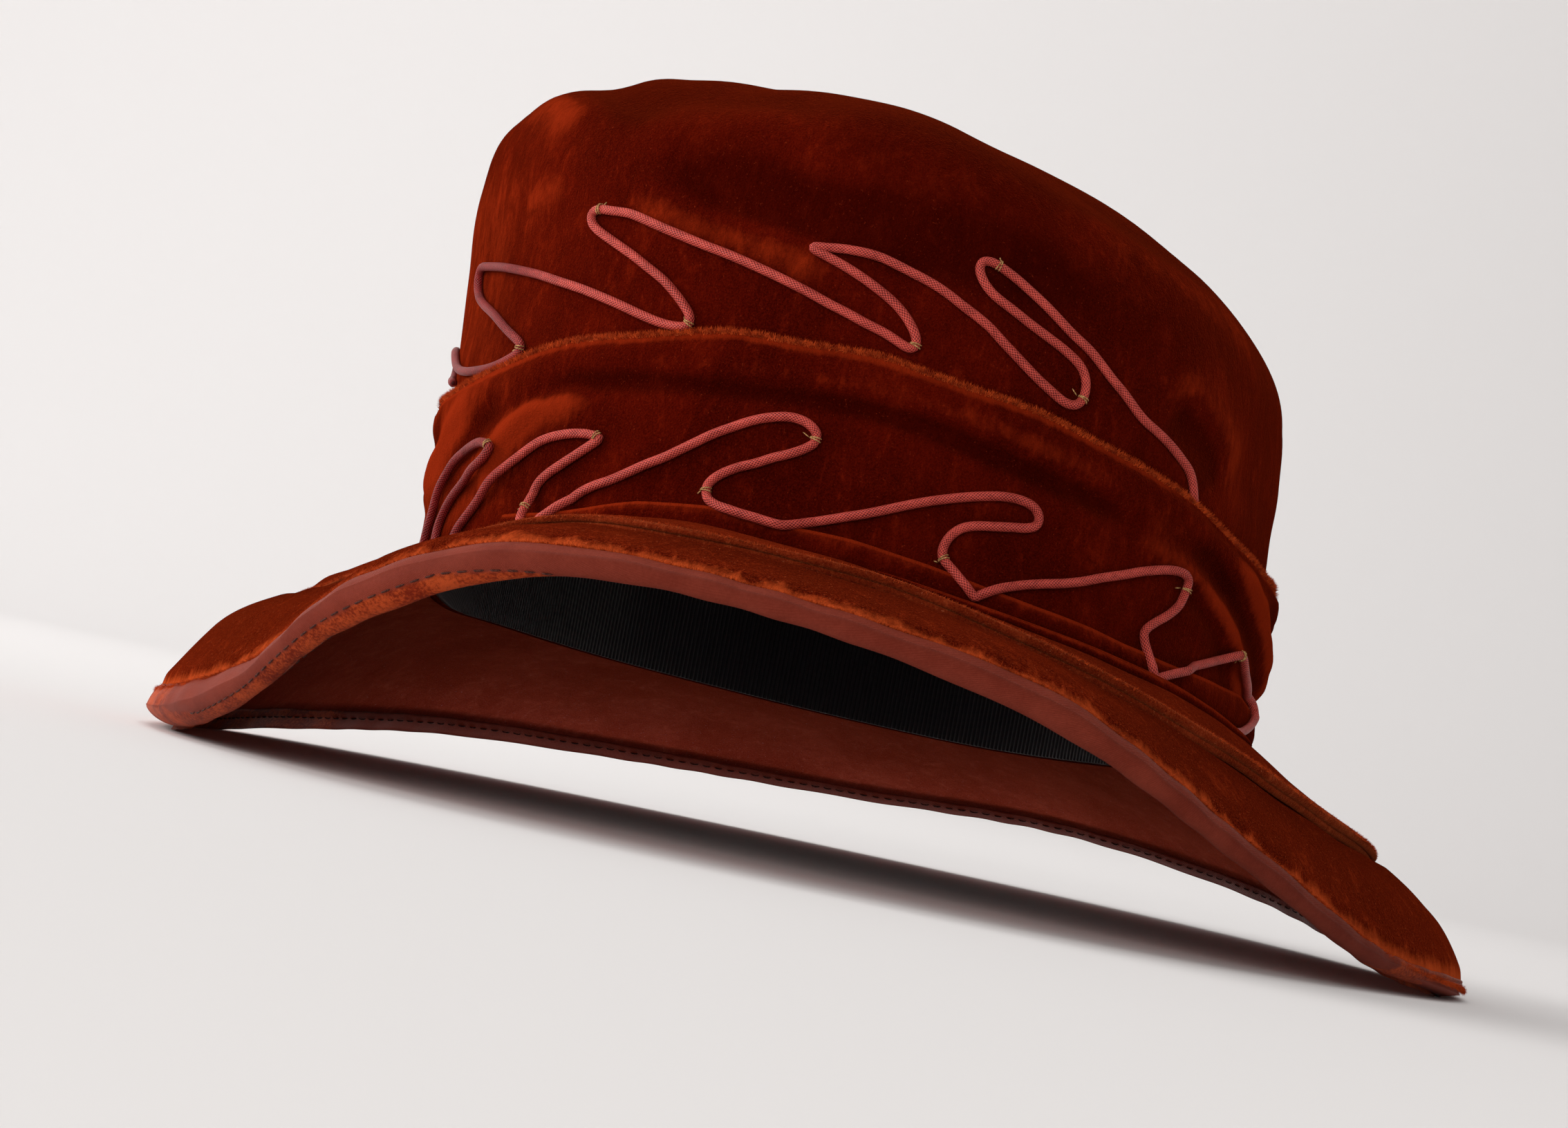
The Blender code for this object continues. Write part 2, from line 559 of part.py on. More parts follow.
def material(colour):
    """One Principled material for each cloth."""
    made = bpy.data.materials.get(colour)
    if made is None:
        made = bpy.data.materials.new(colour)
        made.use_nodes = True
        shader = made.node_tree.nodes["Principled BSDF"]
        shader.inputs["Base Color"].default_value = COLOURS[colour]
        shader.inputs["Roughness"].default_value = 0.85
        shader.inputs["Metallic"].default_value = 0.0
    return made


def ring_faces(turns, rows, closed=True):
    """Quads of a grid that runs round the head, row after row."""
    last = turns if closed else turns - 1
    return [(r * turns + i, r * turns + (i + 1) % turns, (r + 1) * turns + (i + 1) % turns, (r + 1) * turns + i)
            for r in range(rows) for i in range(last)]


def add_sheet(name, surface, turns, shares, wall, colour, arc=None):
    """Cloth: the outer face of a surface as a grid, given its wall inwards by Solidify."""
    if arc is None:
        azimuth = np.linspace(-180, 180, turns, endpoint=False)
    else:
        azimuth = np.linspace(*arc, turns)
    points = settle(surface(*np.meshgrid(azimuth, np.array(shares)))).reshape(-1, 3)
    piece = add_mesh(name, points, ring_faces(turns, len(shares) - 1, arc is None), colour)
    wall_maker = piece.modifiers.new("wall", "SOLIDIFY")
    wall_maker.thickness = wall
    wall_maker.offset = -1.0
    wall_maker.use_even_offset = True
    return piece


def add_crown():
    """The crown: one sheet from the seam to the top, closed by a ring of triangles at the middle."""
    turns, rows = CROWN_STEPS
    azimuth = np.linspace(-180, 180, turns, endpoint=False)
    climb = np.append(np.linspace(0, 0.78, rows), 0.89)
    points = settle(crown_point(*np.meshgrid(azimuth, climb))).reshape(-1, 3)
    middle = settle(crown_base(np.array([0.0]), np.array([1.0])))
    points = np.vstack([points, middle])
    top = rows * turns
    cap = [(top + i, top + (i + 1) % turns, top + turns) for i in range(turns)]
    piece = add_mesh("crown", points, ring_faces(turns, rows) + cap, "velvet")
    wall_maker = piece.modifiers.new("wall", "SOLIDIFY")
    wall_maker.thickness = CROWN_WALL
    wall_maker.offset = -1.0
    wall_maker.use_even_offset = True


def add_binding():
    rows = settle(binding_rows())
    last = (len(rows) - 1) * BRIM_TURNS
    faces = ring_faces(BRIM_TURNS, len(rows) - 1)
    faces += [(last + i, last + (i + 1) % BRIM_TURNS, (i + 1) % BRIM_TURNS, i) for i in range(BRIM_TURNS)]
    add_mesh("brim_binding", rows.reshape(-1, 3), faces, "binding")


def add_cord(name, points, colour="cord"):
    """A couched cord: a round tube through its points."""
    curve = bpy.data.curves.new(name, "CURVE")
    curve.dimensions = "3D"
    curve.bevel_depth = CORD_DIAMETER / 2
    curve.bevel_resolution = 1
    curve.use_fill_caps = True
    curve.render_resolution_u = 0
    spline = curve.splines.new("POLY")
    spline.points.add(len(points) - 1)
    for target, point in zip(spline.points, points):
        target.co = (*point, 1.0)
    piece = bpy.data.objects.new(name, curve)
    HAT.objects.link(piece)
    curve.materials.append(material(colour))


def closer_points(route):
    """A route with a point added, on the curve through its neighbours, wherever two are far apart."""
    route = np.array(route, float)
    made = [route[0]]
    for i in range(1, len(route)):
        before, left, right, after = (route[min(max(k, 0), len(route) - 1)] for k in (i - 2, i - 1, i, i + 1))
        if np.hypot(*((right - left) * CORD_STEP_SCALE)) > 1:
            made.append(hermite(left, right, (right - before) / 2, (after - left) / 2, 0.5))
        made.append(right)
    return np.array(made).T


def crown_cord_path(route):
    """A route over the crown, its middle a radius and a small gap off the cloth."""
    azimuth, climb = closer_points(route)
    return settle(crown_point(azimuth, climb, CORD_DIAMETER / 2 + CORD_GAP + 0 * azimuth))


def band_cord_path(route):
    """A route over the band and the pleat, kept above the brim's upper cloth."""
    azimuth, height = closer_points(route)
    foot, top = band_foot(azimuth), around(BAND, BAND_COLUMNS, "top", azimuth)
    share = (height - foot) / (top - foot)
    lift = np.max([band_lift(azimuth + turn, share + rise)
                   for turn in (-3, 0, 3) for rise in (-0.1, 0, 0.1)], axis=0)
    pleat_top = np.interp(azimuth, column(PLEAT, PLEAT_COLUMNS, "azimuth"), column(PLEAT, PLEAT_COLUMNS, "top"))
    over_pleat = (azimuth > PLEAT[0][0] - 4) & (azimuth < PLEAT[-1][0] + 4) & (height < pleat_top + 0.035)
    lift = np.where(over_pleat, pleat_lift(azimuth), lift)
    lift = lift + CORD_DIAMETER / 2 + CORD_GAP
    out, down, slope = brim_section(azimuth, lift / BRIM_WIDTH / 0.85)
    above = (brim_top_lift() + CLEARANCE + FOLD_WALL + CORD_DIAMETER / 2 + CORD_GAP) / np.cos(slope)
    lowest = (above + seam_drop(azimuth) - down) / (CROWN_HEIGHT + SEAM_EASE * seam_drop(azimuth))
    return settle(wall_point(azimuth, np.maximum(height, lowest), lift))


def clear_scene():
    for old in list(bpy.data.objects):
        bpy.data.objects.remove(old, do_unlink=True)


clear_scene()
HAT = bpy.data.collections.new("cloche_hat")
bpy.context.scene.collection.children.link(HAT)

add_crown()
add_sheet("draped_band", band_point, BAND_TURNS, np.linspace(0, 1, BAND_ROWS), BAND_WALL, "velvet")
add_sheet("band_pleat", pleat_point, PLEAT_TURNS, (0.0, 0.5, 1.0), BAND_WALL, "velvet",
          arc=(PLEAT[0][0], PLEAT[-1][0]))
add_sheet("brim", lambda azimuth, share: brim_point(azimuth, share, brim_top_lift()), BRIM_TURNS, BRIM_ROWS,
          BRIM_WALL, "velvet_light")
add_sheet("brim_fold", brim_fold_point, BRIM_TURNS, BRIM_FOLD_ROWS, FOLD_WALL, "velvet_light")
add_binding()
add_sheet("sweatband", sweatband_point, CROWN_STEPS[0], (0.0, 1.0), SWEATBAND_WALL, "ribbon")
add_cord("crown_cord", crown_cord_path(CROWN_CORD_FRONT))
add_cord("crown_cord_back", crown_cord_path(CROWN_CORD_BACK))
add_cord("band_cord", band_cord_path(BAND_CORD_FRONT))
add_cord("band_cord_back", band_cord_path(BAND_CORD_BACK))
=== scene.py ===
"""A draped velvet cloche hat at rest on a table, in metres, +Z up, its front at -Y.

The hat is put together in the order a milliner makes it: crown, brim, upper fold, binding, ribbon, draped band,
pleats, cords, and the pile and thread that stand off the cloth. Azimuths are degrees round the head, 0 at the
front and 90 at the wearer's left.
"""

import bpy
import numpy as np
from mathutils import Matrix


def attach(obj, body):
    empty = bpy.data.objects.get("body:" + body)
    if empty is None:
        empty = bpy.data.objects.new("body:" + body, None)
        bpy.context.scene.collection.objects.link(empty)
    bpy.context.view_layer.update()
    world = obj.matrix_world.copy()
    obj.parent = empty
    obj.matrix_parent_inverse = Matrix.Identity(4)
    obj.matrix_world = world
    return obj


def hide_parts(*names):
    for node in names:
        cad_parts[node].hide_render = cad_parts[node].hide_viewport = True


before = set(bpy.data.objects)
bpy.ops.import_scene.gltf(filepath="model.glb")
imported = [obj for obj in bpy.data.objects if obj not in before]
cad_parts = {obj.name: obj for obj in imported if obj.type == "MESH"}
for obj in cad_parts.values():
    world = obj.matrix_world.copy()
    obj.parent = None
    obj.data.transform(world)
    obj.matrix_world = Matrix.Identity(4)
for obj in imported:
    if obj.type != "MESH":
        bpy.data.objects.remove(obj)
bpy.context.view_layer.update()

# The crown
# One soft shell of silk velvet over a light stiffened lining, blocked on a leaning block and dented by hand.
# Its lower edge is sewn to the brim all round, and the nap runs down the wall.
HEAD_WIDTH, HEAD_DEPTH, HEAD_SQUARENESS = 0.182, 0.208, 2.15
CROWN_HEIGHT, CROWN_WALL, CROWN_LEAN, CROWN_TOP_TILT = 0.1065, 0.0020, 0.035, 0.055
BRIM_WIDTH, SEAM_EASE = 0.072, 6
MEAN_RADIUS = (HEAD_WIDTH + HEAD_DEPTH) / 4
CLIMB_LENGTH = 0.177
TILT, ROLL = np.radians(7.635719463932954), np.radians(-0.43950962111018227)
SHIFT = np.array([-0.00273530283, 0.00505821066, 0.04870974482])

# square_radius, square_height, slope_radius, slope_height
PROFILE = np.array((
    (1.000, 0.000, 1.000, 0.000), (1.008, 0.185, 1.004, 0.185), (1.020, 0.370, 1.010, 0.370),
    (1.036, 0.555, 1.008, 0.555), (1.052, 0.730, 0.980, 0.695), (1.015, 0.865, 0.900, 0.805),
    (0.875, 0.950, 0.745, 0.895), (0.640, 0.985, 0.540, 0.955), (0.340, 1.000, 0.280, 0.990),
    (0.000, 1.000, 0.000, 1.000)))
# azimuth, slope_share, shoulder_rise
CROWN_ROUND = np.array((
    (-180, 0.45, 0.000), (-150, 0.35, 0.000), (-120, 0.15, 0.000), (-90, 0.00, -0.010), (-60, 0.05, -0.045),
    (-30, 0.20, -0.045), (0, 0.40, -0.012), (30, 0.65, -0.045), (60, 0.90, -0.055), (90, 1.00, -0.030),
    (120, 0.90, 0.000), (150, 0.65, 0.000)))
# azimuth, seam_drop, edge_out, edge_drop, root_slope, edge_slope
BRIM_ROUND = np.array((
    (-180, 0.030, 0.720, 0.207, 6, 24), (-160, 0.030, 0.740, 0.257, 8, 34), (-140, 0.050, 0.780, 0.353, 10, 44),
    (-120, 0.080, 0.770, 0.520, 12, 54), (-100, 0.125, 0.700, 0.670, 7, 64), (-80, 0.135, 0.630, 0.755, 13, 70),
    (-60, 0.135, 0.575, 0.790, 25, 70), (-45, 0.115, 0.605, 0.722, 25, 60), (-30, 0.095, 0.735, 0.528, 12, 46),
    (-15, 0.065, 0.805, 0.347, 4, 36), (0, 0.065, 0.794, 0.332, 6, 34), (20, 0.095, 0.760, 0.428, 16, 38),
    (40, 0.110, 0.680, 0.617, 20, 52), (60, 0.125, 0.668, 0.735, 27, 64), (80, 0.115, 0.738, 0.718, 39, 70),
    (100, 0.110, 0.775, 0.640, 42, 64), (120, 0.080, 0.800, 0.490, 34, 46), (140, 0.050, 0.820, 0.296, 16, 30),
    (160, 0.040, 0.774, 0.182, 8, 22)))
# azimuth, climb, azimuth_spread, climb_spread, depth as a share of the crown's height
DENTS = ((-24, 0.60, 16, 0.075, 0.026), (35, 0.52, 22, 0.080, 0.012), (64, 0.30, 9, 0.080, 0.014),
         (165, 0.62, 24, 0.080, 0.018))
# rise in mm, width in mm, then the line as azimuth and climb
CROWN_CREASES = (
    (1.0, 4.0, ((-30, 0.392), (-23.2, 0.370), (-17.7, 0.355), (-12.7, 0.344), (-7.8, 0.334), (-3.8, 0.322),
                (0, 0.314))),
    (-1.1, 7.5, ((-28, 0.425), (-13.7, 0.396), (-4.1, 0.384), (5.2, 0.384), (11.4, 0.388), (19.4, 0.396), (30, 0.410))),
    (0.4, 5.0, ((-18, 0.575), (-9.8, 0.496), (-5.3, 0.457), (2, 0.425))),
    (0.6, 3.0, ((-48, 0.384), (-42.8, 0.393), (-38, 0.406))),
    (-1.4, 5.5, ((40, 0.310), (47.1, 0.274), (53, 0.240))),
    (0.8, 6.0, ((38, 0.350), (50, 0.310), (60, 0.270))),
    (-1.3, 7.0, ((-58, 0.690), (-46, 0.650), (-34, 0.560), (-24, 0.500))),
    (0.9, 8.0, ((-60, 0.600), (-48, 0.560), (-38, 0.490))),
    (-1.0, 8.0, ((6, 0.690), (20, 0.640), (38, 0.600), (56, 0.600))),
    (0.8, 10.0, ((20, 0.540), (44, 0.520), (66, 0.470))),
    (-1.0, 7.0, ((82, 0.500), (96, 0.430), (104, 0.350))),
    (-1.1, 7.0, ((140, 0.560), (160, 0.480), (178, 0.450))),
    (0.9, 8.0, ((-150, 0.520), (-130, 0.450), (-112, 0.420))),
    (-1.0, 6.0, ((-100, 0.480), (-88, 0.400), (-80, 0.330))),
)


def hermite(left, right, left_slope, right_slope, share):
    """A cubic from left to right with the given slopes per step."""
    a, b = share * share, share ** 3
    return ((2 * b - 3 * a + 1) * left + (b - 2 * a + share) * left_slope
            + (3 * a - 2 * b) * right + (b - a) * right_slope)


def around(table, place, azimuth):
    """One column of a table, read smoothly round the whole head by cubics through its rows."""
    stations = np.concatenate([table[:, 0] - 360, table[:, 0], table[:, 0] + 360])
    values = np.tile(table[:, place], 3)
    turn = (np.asarray(azimuth, float) + 180) % 360 - 180
    i = np.clip(np.searchsorted(stations, turn, side="right") - 1, 1, len(stations) - 3)
    step = stations[i + 1] - stations[i]
    left_slope = (values[i + 1] - values[i - 1]) / (stations[i + 1] - stations[i - 1]) * step
    right_slope = (values[i + 2] - values[i]) / (stations[i + 2] - stations[i]) * step
    return hermite(values[i], values[i + 1], left_slope, right_slope, (turn - stations[i]) / step)


def smooth_step(low, high, value):
    """0 before low and 1 past high, three squares less two cubes between; low may be the greater."""
    share = np.clip((value - low) / (high - low), 0, 1)
    return share * share * (3 - 2 * share)


def outward(azimuth):
    """X and Y of the unit vector out from the head: sine and minus cosine of the azimuth."""
    return np.sin(np.radians(azimuth)), -np.cos(np.radians(azimuth))


def head_radius(azimuth):
    """The headline: a superellipse of the head's half width and half depth."""
    x, y = outward(azimuth)
    n = HEAD_SQUARENESS
    return (np.abs(2 * x / HEAD_WIDTH) ** n + np.abs(2 * y / HEAD_DEPTH) ** n) ** (-1 / n)


def seam_drop(azimuth):
    """How far the seam between crown and brim hangs below the headline, in metres."""
    return BRIM_WIDTH * around(BRIM_ROUND, 1, azimuth)


def crown_shell(azimuth, climb):
    """Profile radius times headline radius, pushed over by the lean, with the seam dropped where the brim droops."""
    rows = np.vstack([2 * PROFILE[0] - PROFILE[1], PROFILE, 2 * PROFILE[-1] - PROFILE[-2]])
    place = np.clip(climb, -0.05, 1) * (len(PROFILE) - 1)
    i = np.clip(np.floor(place).astype(int), 0, len(PROFILE) - 2)
    before, left, right, after = rows[i], rows[i + 1], rows[i + 2], rows[i + 3]
    row = hermite(left, right, (right - before) / 2, (after - left) / 2, (place - i)[..., None])
    slope = around(CROWN_ROUND, 1, azimuth)
    radius = row[..., 0] * (1 - slope) + row[..., 2] * slope
    height = row[..., 1] * (1 - slope) + row[..., 3] * slope
    x, y = (head_radius(azimuth) * radius * part for part in outward(azimuth))
    z = CROWN_HEIGHT * height * (1 + around(CROWN_ROUND, 2, azimuth) * radius ** 2) - CROWN_TOP_TILT * x * height ** 2
    z = z - seam_drop(azimuth) * np.clip(1 - height, 0, None) ** SEAM_EASE
    return np.stack([x - CROWN_LEAN * z, y, z], -1)


def crease(azimuth, height, reach, width, line):
    """A soft line in the cloth: a bell of the distance to a polyline, fading out at both ends."""
    line = np.array(line, float)
    scale = np.array([np.radians(1) * MEAN_RADIUS, reach])
    steps = np.linalg.norm(np.diff(line, axis=0) * scale, axis=1)
    run = np.concatenate([[0], np.cumsum(steps)])
    nearest, along = np.full(azimuth.shape, 9.0), np.zeros(azimuth.shape)
    for start, end, passed, length in zip(line[:-1], line[1:], run, steps):
        away = np.stack([(azimuth - start[0] + 180) % 360 - 180, height - start[1]], -1) * scale
        way = (end - start) * scale
        share = np.clip((away @ way) / length ** 2, 0, 1)
        distance = np.linalg.norm(away - share[..., None] * way, axis=-1)
        closer = distance < nearest
        nearest = np.where(closer, distance, nearest)
        along = np.where(closer, passed + share * length, along)
    fade = smooth_step(0, 0.22 * run[-1], along) * smooth_step(run[-1], 0.78 * run[-1], along)
    return fade * np.exp(-(nearest / width) ** 2)


def folds(azimuth, height, lines, reach, wider=1.0):
    """Every line's rise in mm times its bell, added up: crests above 0, grooves below."""
    return sum(rise * crease(azimuth, height, reach, 0.001 * width * wider, line) for rise, width, line in lines)


def rumple(points, length, seed):
    """Uneven cloth: ten plane waves of random heading and of about the given length, added up."""
    rng = np.random.default_rng(seed)
    heading = rng.normal(size=(10, 3))
    heading *= (2 * np.pi / length * rng.uniform(0.7, 1.5, 10) / np.linalg.norm(heading, axis=1))[:, None]
    return np.sin(points @ heading.T + rng.uniform(0, 2 * np.pi, 10)).sum(-1) / 10 ** 0.5


def crown_point(azimuth, climb, lift=0.0):
    """The shell, moved along its normal by the lift, the dents, the creases and the rumple."""
    azimuth, climb = np.broadcast_arrays(np.asarray(azimuth, float), np.asarray(climb, float))
    held = np.minimum(climb, 0.98)
    along = crown_shell(azimuth + 1, held) - crown_shell(azimuth - 1, held)
    up = crown_shell(azimuth, held + 0.002) - crown_shell(azimuth, held - 0.002)
    normal = np.cross(along, up)
    normal /= np.linalg.norm(normal, axis=-1, keepdims=True)
    point = crown_shell(azimuth, climb)
    move = lift + 0.0 * azimuth
    for middle, height, spread, climb_spread, depth in DENTS:
        turn = (azimuth - middle + 180) % 360 - 180
        move = move - depth * CROWN_HEIGHT * np.exp(-(turn / spread) ** 2 - ((climb - height) / climb_spread) ** 2)
    free = smooth_step(0.20, 0.27, climb)
    move = move + 0.001 * free * folds(azimuth, climb, CROWN_CREASES, CLIMB_LENGTH)
    move = move + free * (0.00042 * rumple(point, 0.060, 3) + 0.00022 * rumple(point, 0.024, 4))
    return point + normal * move[..., None]


def settle(points):
    """The hat as it rests: rolled, tipped back and moved, with cloth pressed flat where it meets the table."""
    x = points[..., 0] * np.cos(ROLL) - points[..., 2] * np.sin(ROLL)
    z = points[..., 0] * np.sin(ROLL) + points[..., 2] * np.cos(ROLL)
    y = points[..., 1]
    placed = np.stack([x, y * np.cos(TILT) + z * np.sin(TILT), z * np.cos(TILT) - y * np.sin(TILT)], -1) + SHIFT
    placed[..., 2] = np.maximum(placed[..., 2], 0.0)
    return placed


def lay_out(name, mesh):
    """The mesh as a piece of the hat, unmoved, that rides on the hat's one body."""
    piece = bpy.data.objects.new(name, mesh)
    bpy.context.scene.collection.objects.link(piece)
    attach(piece, "root")
    return piece


def sew(name, grid, finishes, rounds=(False, True), around_scale=1.0, up_scale=1.0, faces_of=None, ends=None, light_and_pile=None):
    """A grid of points as a mesh: quads between neighbours, closed across rows or columns where asked.

    The UV map runs in metres: u along a row and v across the rows. ends closes a tube, or caps a dome. The last
    argument is kept as a point attribute of painted light: on velvet from -1, painted shade, to 1, painted highlight,
    on the cords from 0, painted shade, to 1, none; on the binding it marks instead where the velvet covers the strip."""
    rows, columns = grid.shape[:2]
    last_row, last_column = rows - (not rounds[0]), columns - (not rounds[1])
    r, c = np.meshgrid(np.arange(last_row), np.arange(last_column), indexing="ij")
    up, side = (r + 1) % rows, (c + 1) % columns
    quads = np.stack([r * columns + c, r * columns + side, up * columns + side, up * columns + c], -1).reshape(-1, 4)
    u = np.stack([c, c + 1, c + 1, c], -1) * around_scale
    v = np.stack([r, r, r + 1, r + 1], -1) * up_scale
    uv = np.stack([u, v], -1).reshape(-1, 2)
    points, faces = grid.reshape(-1, 3), quads.tolist()
    extra = []
    if ends == "dome":
        points = np.vstack([points, grid[-1].mean(0)])
        top = (rows - 1) * columns
        extra = [(top + i, top + (i + 1) % columns, rows * columns) for i in range(columns)]
    elif ends == "tube":
        extra = [tuple(range(columns))[::-1], tuple(range((rows - 1) * columns, rows * columns))]
    mesh = bpy.data.meshes.new(name)
    mesh.from_pydata(points.tolist(), [], faces + extra)
    layer = mesh.uv_layers.new(name="cloth")
    uv = np.vstack([uv, np.zeros((len(mesh.loops) - len(uv), 2))])
    layer.data.foreach_set("uv", uv.ravel())
    mesh.shade_smooth()
    for finish in finishes:
        mesh.materials.append(finish)
    if faces_of is not None:
        which = np.zeros(len(mesh.polygons), int)
        which[:quads.shape[0]] = np.repeat(faces_of, last_column)
        mesh.polygons.foreach_set("material_index", which)
    if light_and_pile is not None:
        light_and_pile_values = np.zeros(len(mesh.vertices), np.float32)
        light_and_pile_values[:grid.shape[0] * columns] = np.broadcast_to(light_and_pile, grid.shape[:2]).ravel()
        mesh.attributes.new("light_and_pile", "FLOAT", "POINT").data.foreach_set("value", light_and_pile_values)
    return lay_out(name, mesh)


class Reading:
    """A value read over a surface. Sums written on readings add their Math nodes."""

    def __init__(self, finish, socket):
        self.finish, self.socket = finish, socket

    def maths(self, operation, *values):
        return self.finish.node("Math", {"operation": operation}, dict(enumerate(values)))

    def __add__(self, other):
        return self.maths("ADD", self, other)

    def __sub__(self, other):
        return self.maths("SUBTRACT", self, other)

    def __rsub__(self, other):
        return self.maths("SUBTRACT", other, self)

    def __mul__(self, other):
        return self.maths("MULTIPLY", self, other)

    __radd__, __rmul__ = __add__, __mul__


class Finish:
    """A material in the making: the shader's constants, and one way to add any node."""

    def __init__(self, name, constants):
        self.material = bpy.data.materials.new(name)
        self.material.use_nodes = True
        self.tree = self.material.node_tree
        self.shader = self.tree.nodes["Principled BSDF"]
        for socket, value in constants.items():
            self.shader.inputs[socket].default_value = value

    def node(self, kind, settings, sockets, output=0):
        """A node of a type, with its settings first and then its sockets' values or links."""
        made = self.tree.nodes.new("ShaderNode" + kind)
        for key, value in settings.items():
            setattr(made, key, value)
        for key, value in sockets.items():
            self.feed(made.inputs[key], value)
        return Reading(self, made.outputs[output])

    def feed(self, socket, value):
        if isinstance(value, Reading):
            self.tree.links.new(value.socket, socket)
        else:
            socket.default_value = value

    def place(self, stretch=(1.0, 1.0, 1.0), turn=(0.0, 0.0, 0.0), of="Object"):
        """Where a point lies on the piece, scaled and turned."""
        where = self.node("TexCoord", {}, {}, of)
        return self.node("Mapping", {}, {"Vector": where, "Scale": stretch, "Rotation": turn})

    def noise(self, where, scale, detail=2.0, roughness=0.5, distortion=0.0):
        return self.node("TexNoise", {}, {"Vector": where, "Scale": scale, "Detail": detail, "Roughness": roughness,
                                          "Distortion": distortion})

    def between(self, value, low, high):
        """0 under low, 1 over high, and smooth between."""
        return self.node("MapRange", {"interpolation_type": "SMOOTHSTEP"},
                         {"Value": value, "From Min": low, "From Max": high})

    def mix(self, share, first, second):
        """From the first colour to the second."""
        return self.node("Mix", {"data_type": "RGBA"}, {0: share, 6: first, 7: second}, 2)

    def bump(self, height, depth):
        """Height readings from 0 to 1 as relief of the given depth in metres."""
        relief = self.node("Bump", {}, {"Height": height, "Distance": depth, "Strength": 1.0})
        self.feed(self.shader.inputs["Normal"], relief)


# No part of a colour is brighter than cloth can be
BRIGHTEST = 0.85


def scaled_colour(colour, red, green, blue):
    """A colour with its three parts multiplied and held under the brightest."""
    return tuple(min(part * change, BRIGHTEST) for part, change in zip(colour, (red, green, blue))) + (1.0,)


def velvet(name, deep, worn, bright, sheen=0.16, tint=(1.0, 0.10, 0.02, 1.0)):
    """Silk velvet: soft patches where the pile leans, short streaks of crushed pile, and the pile's own grain.

    A point attribute paints highlights on the piece's crests and turned edges and paints shade in its hollows."""
    cloth = Finish(name, {"Roughness": 1.0, "Specular IOR Level": 0.0, "Sheen Weight": sheen,
                          "Sheen Roughness": 0.35, "Sheen Tint": tint})
    light_and_pile = cloth.node("Attribute", {"attribute_name": "light_and_pile"}, {}, "Fac")
    lying = cloth.noise(cloth.place(), 30.0, 3.0, 0.55, 0.6)
    streaks = cloth.noise(cloth.place((1.0, 1.0, 0.45), (0.3, 0.2, 0.0)), 190.0, 3.0, 0.6, 1.2)
    grain = cloth.noise(cloth.place(), 2600.0, 2.0, 0.7)
    flecks = cloth.noise(cloth.place((1.0, 1.0, 0.5)), 900.0, 2.0, 0.6)
    # Painted highlight on crests and turned edges, and painted shade in hollows, read from the point attribute
    crest_highlight = cloth.between(light_and_pile + (streaks - 0.5) * 0.9 + (flecks - 0.5) * 0.5, 0.05, 1.15)
    hollow_shade = cloth.between(light_and_pile * -1.0 + (lying - 0.5) * 0.5, 0.0, 1.0)
    lean = cloth.between(lying * 0.70 + streaks * 0.30, 0.36, 0.66)
    colour = cloth.mix(lean, deep, worn)
    caught = cloth.between(streaks * 0.45 + flecks * 0.30 + lying * 0.25, 0.50, 0.72)
    colour = cloth.mix(caught * 0.55, colour, bright)
    colour = cloth.mix(cloth.between(grain, 0.35, 0.75) * 0.28, colour, bright)
    colour = cloth.mix(cloth.between(grain, 0.52, 0.25) * 0.30, colour, scaled_colour(deep, 0.35, 0.30, 0.30))
    colour = cloth.mix(hollow_shade * 0.62, colour, scaled_colour(deep, 0.40, 0.35, 0.35))
    colour = cloth.mix(crest_highlight * 0.85, colour, scaled_colour(bright, 1.5, 1.9, 1.9))
    lint = cloth.between(cloth.noise(cloth.place(), 1700.0, 3.0, 0.85), 0.62, 0.72)
    colour = cloth.mix(lint * 0.60, colour, scaled_colour(bright, 1.6, 3.0, 5.0))
    cloth.feed(cloth.shader.inputs["Base Color"], colour)
    cloth.bump(grain * 0.40 + flecks * 0.30 + streaks * 0.35, 0.0009)
    return cloth.material


rust_velvet = velvet("rust_velvet", (0.038, 0.0012, 0.0004, 1.0), (0.075, 0.0028, 0.0007, 1.0),
                     (0.165, 0.0100, 0.0020, 1.0))
lining_cloth = Finish("crown_lining", {"Roughness": 0.9, "Sheen Weight": 0.2, "Sheen Roughness": 0.5})
lining_weave = lining_cloth.noise(lining_cloth.place(), 900.0, 2.0, 0.6)
lining_cloth.feed(lining_cloth.shader.inputs["Base Color"], lining_cloth.mix(
    lining_weave, (0.020, 0.011, 0.009, 1.0), (0.055, 0.030, 0.022, 1.0)))
lining_cloth.bump(lining_weave, 0.0003)

CROWN_COLUMNS = 288
crown_climb = np.concatenate([np.linspace(0, 0.90, 92), np.linspace(0.915, 0.99, 6)])
turns, climbs = np.meshgrid(np.linspace(-180, 180, CROWN_COLUMNS, endpoint=False), crown_climb)
# Painted light: highlights and shade along the creases, painted shade on the top and on the front wall round to the
# wearer's left, and painted light on the wall at the wearer's right, which faces the window
crown_painted_light = (folds(turns, climbs, CROWN_CREASES, CLIMB_LENGTH, 1.15) - 0.8 * smooth_step(0.52, 0.64, climbs)
             - 0.40 * smooth_step(0.30, 0.44, climbs) * smooth_step(-40, -15, turns) * smooth_step(130, 100, turns)
             + 0.50 * smooth_step(-34, -60, turns) * smooth_step(-130, -100, turns) * smooth_step(0.5, 0.4, climbs))
crown_piece = sew("velvet_crown", settle(crown_point(turns, climbs)), [rust_velvet, lining_cloth.material],
                  around_scale=np.radians(360 / CROWN_COLUMNS) * MEAN_RADIUS, up_scale=CLIMB_LENGTH / len(crown_climb),
                  ends="dome", light_and_pile=crown_painted_light)
crown_wall = crown_piece.modifiers.new("wall", "SOLIDIFY")
crown_wall.thickness, crown_wall.offset, crown_wall.use_even_offset = CROWN_WALL, -1.0, True
crown_wall.material_offset = 1
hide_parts("crown")
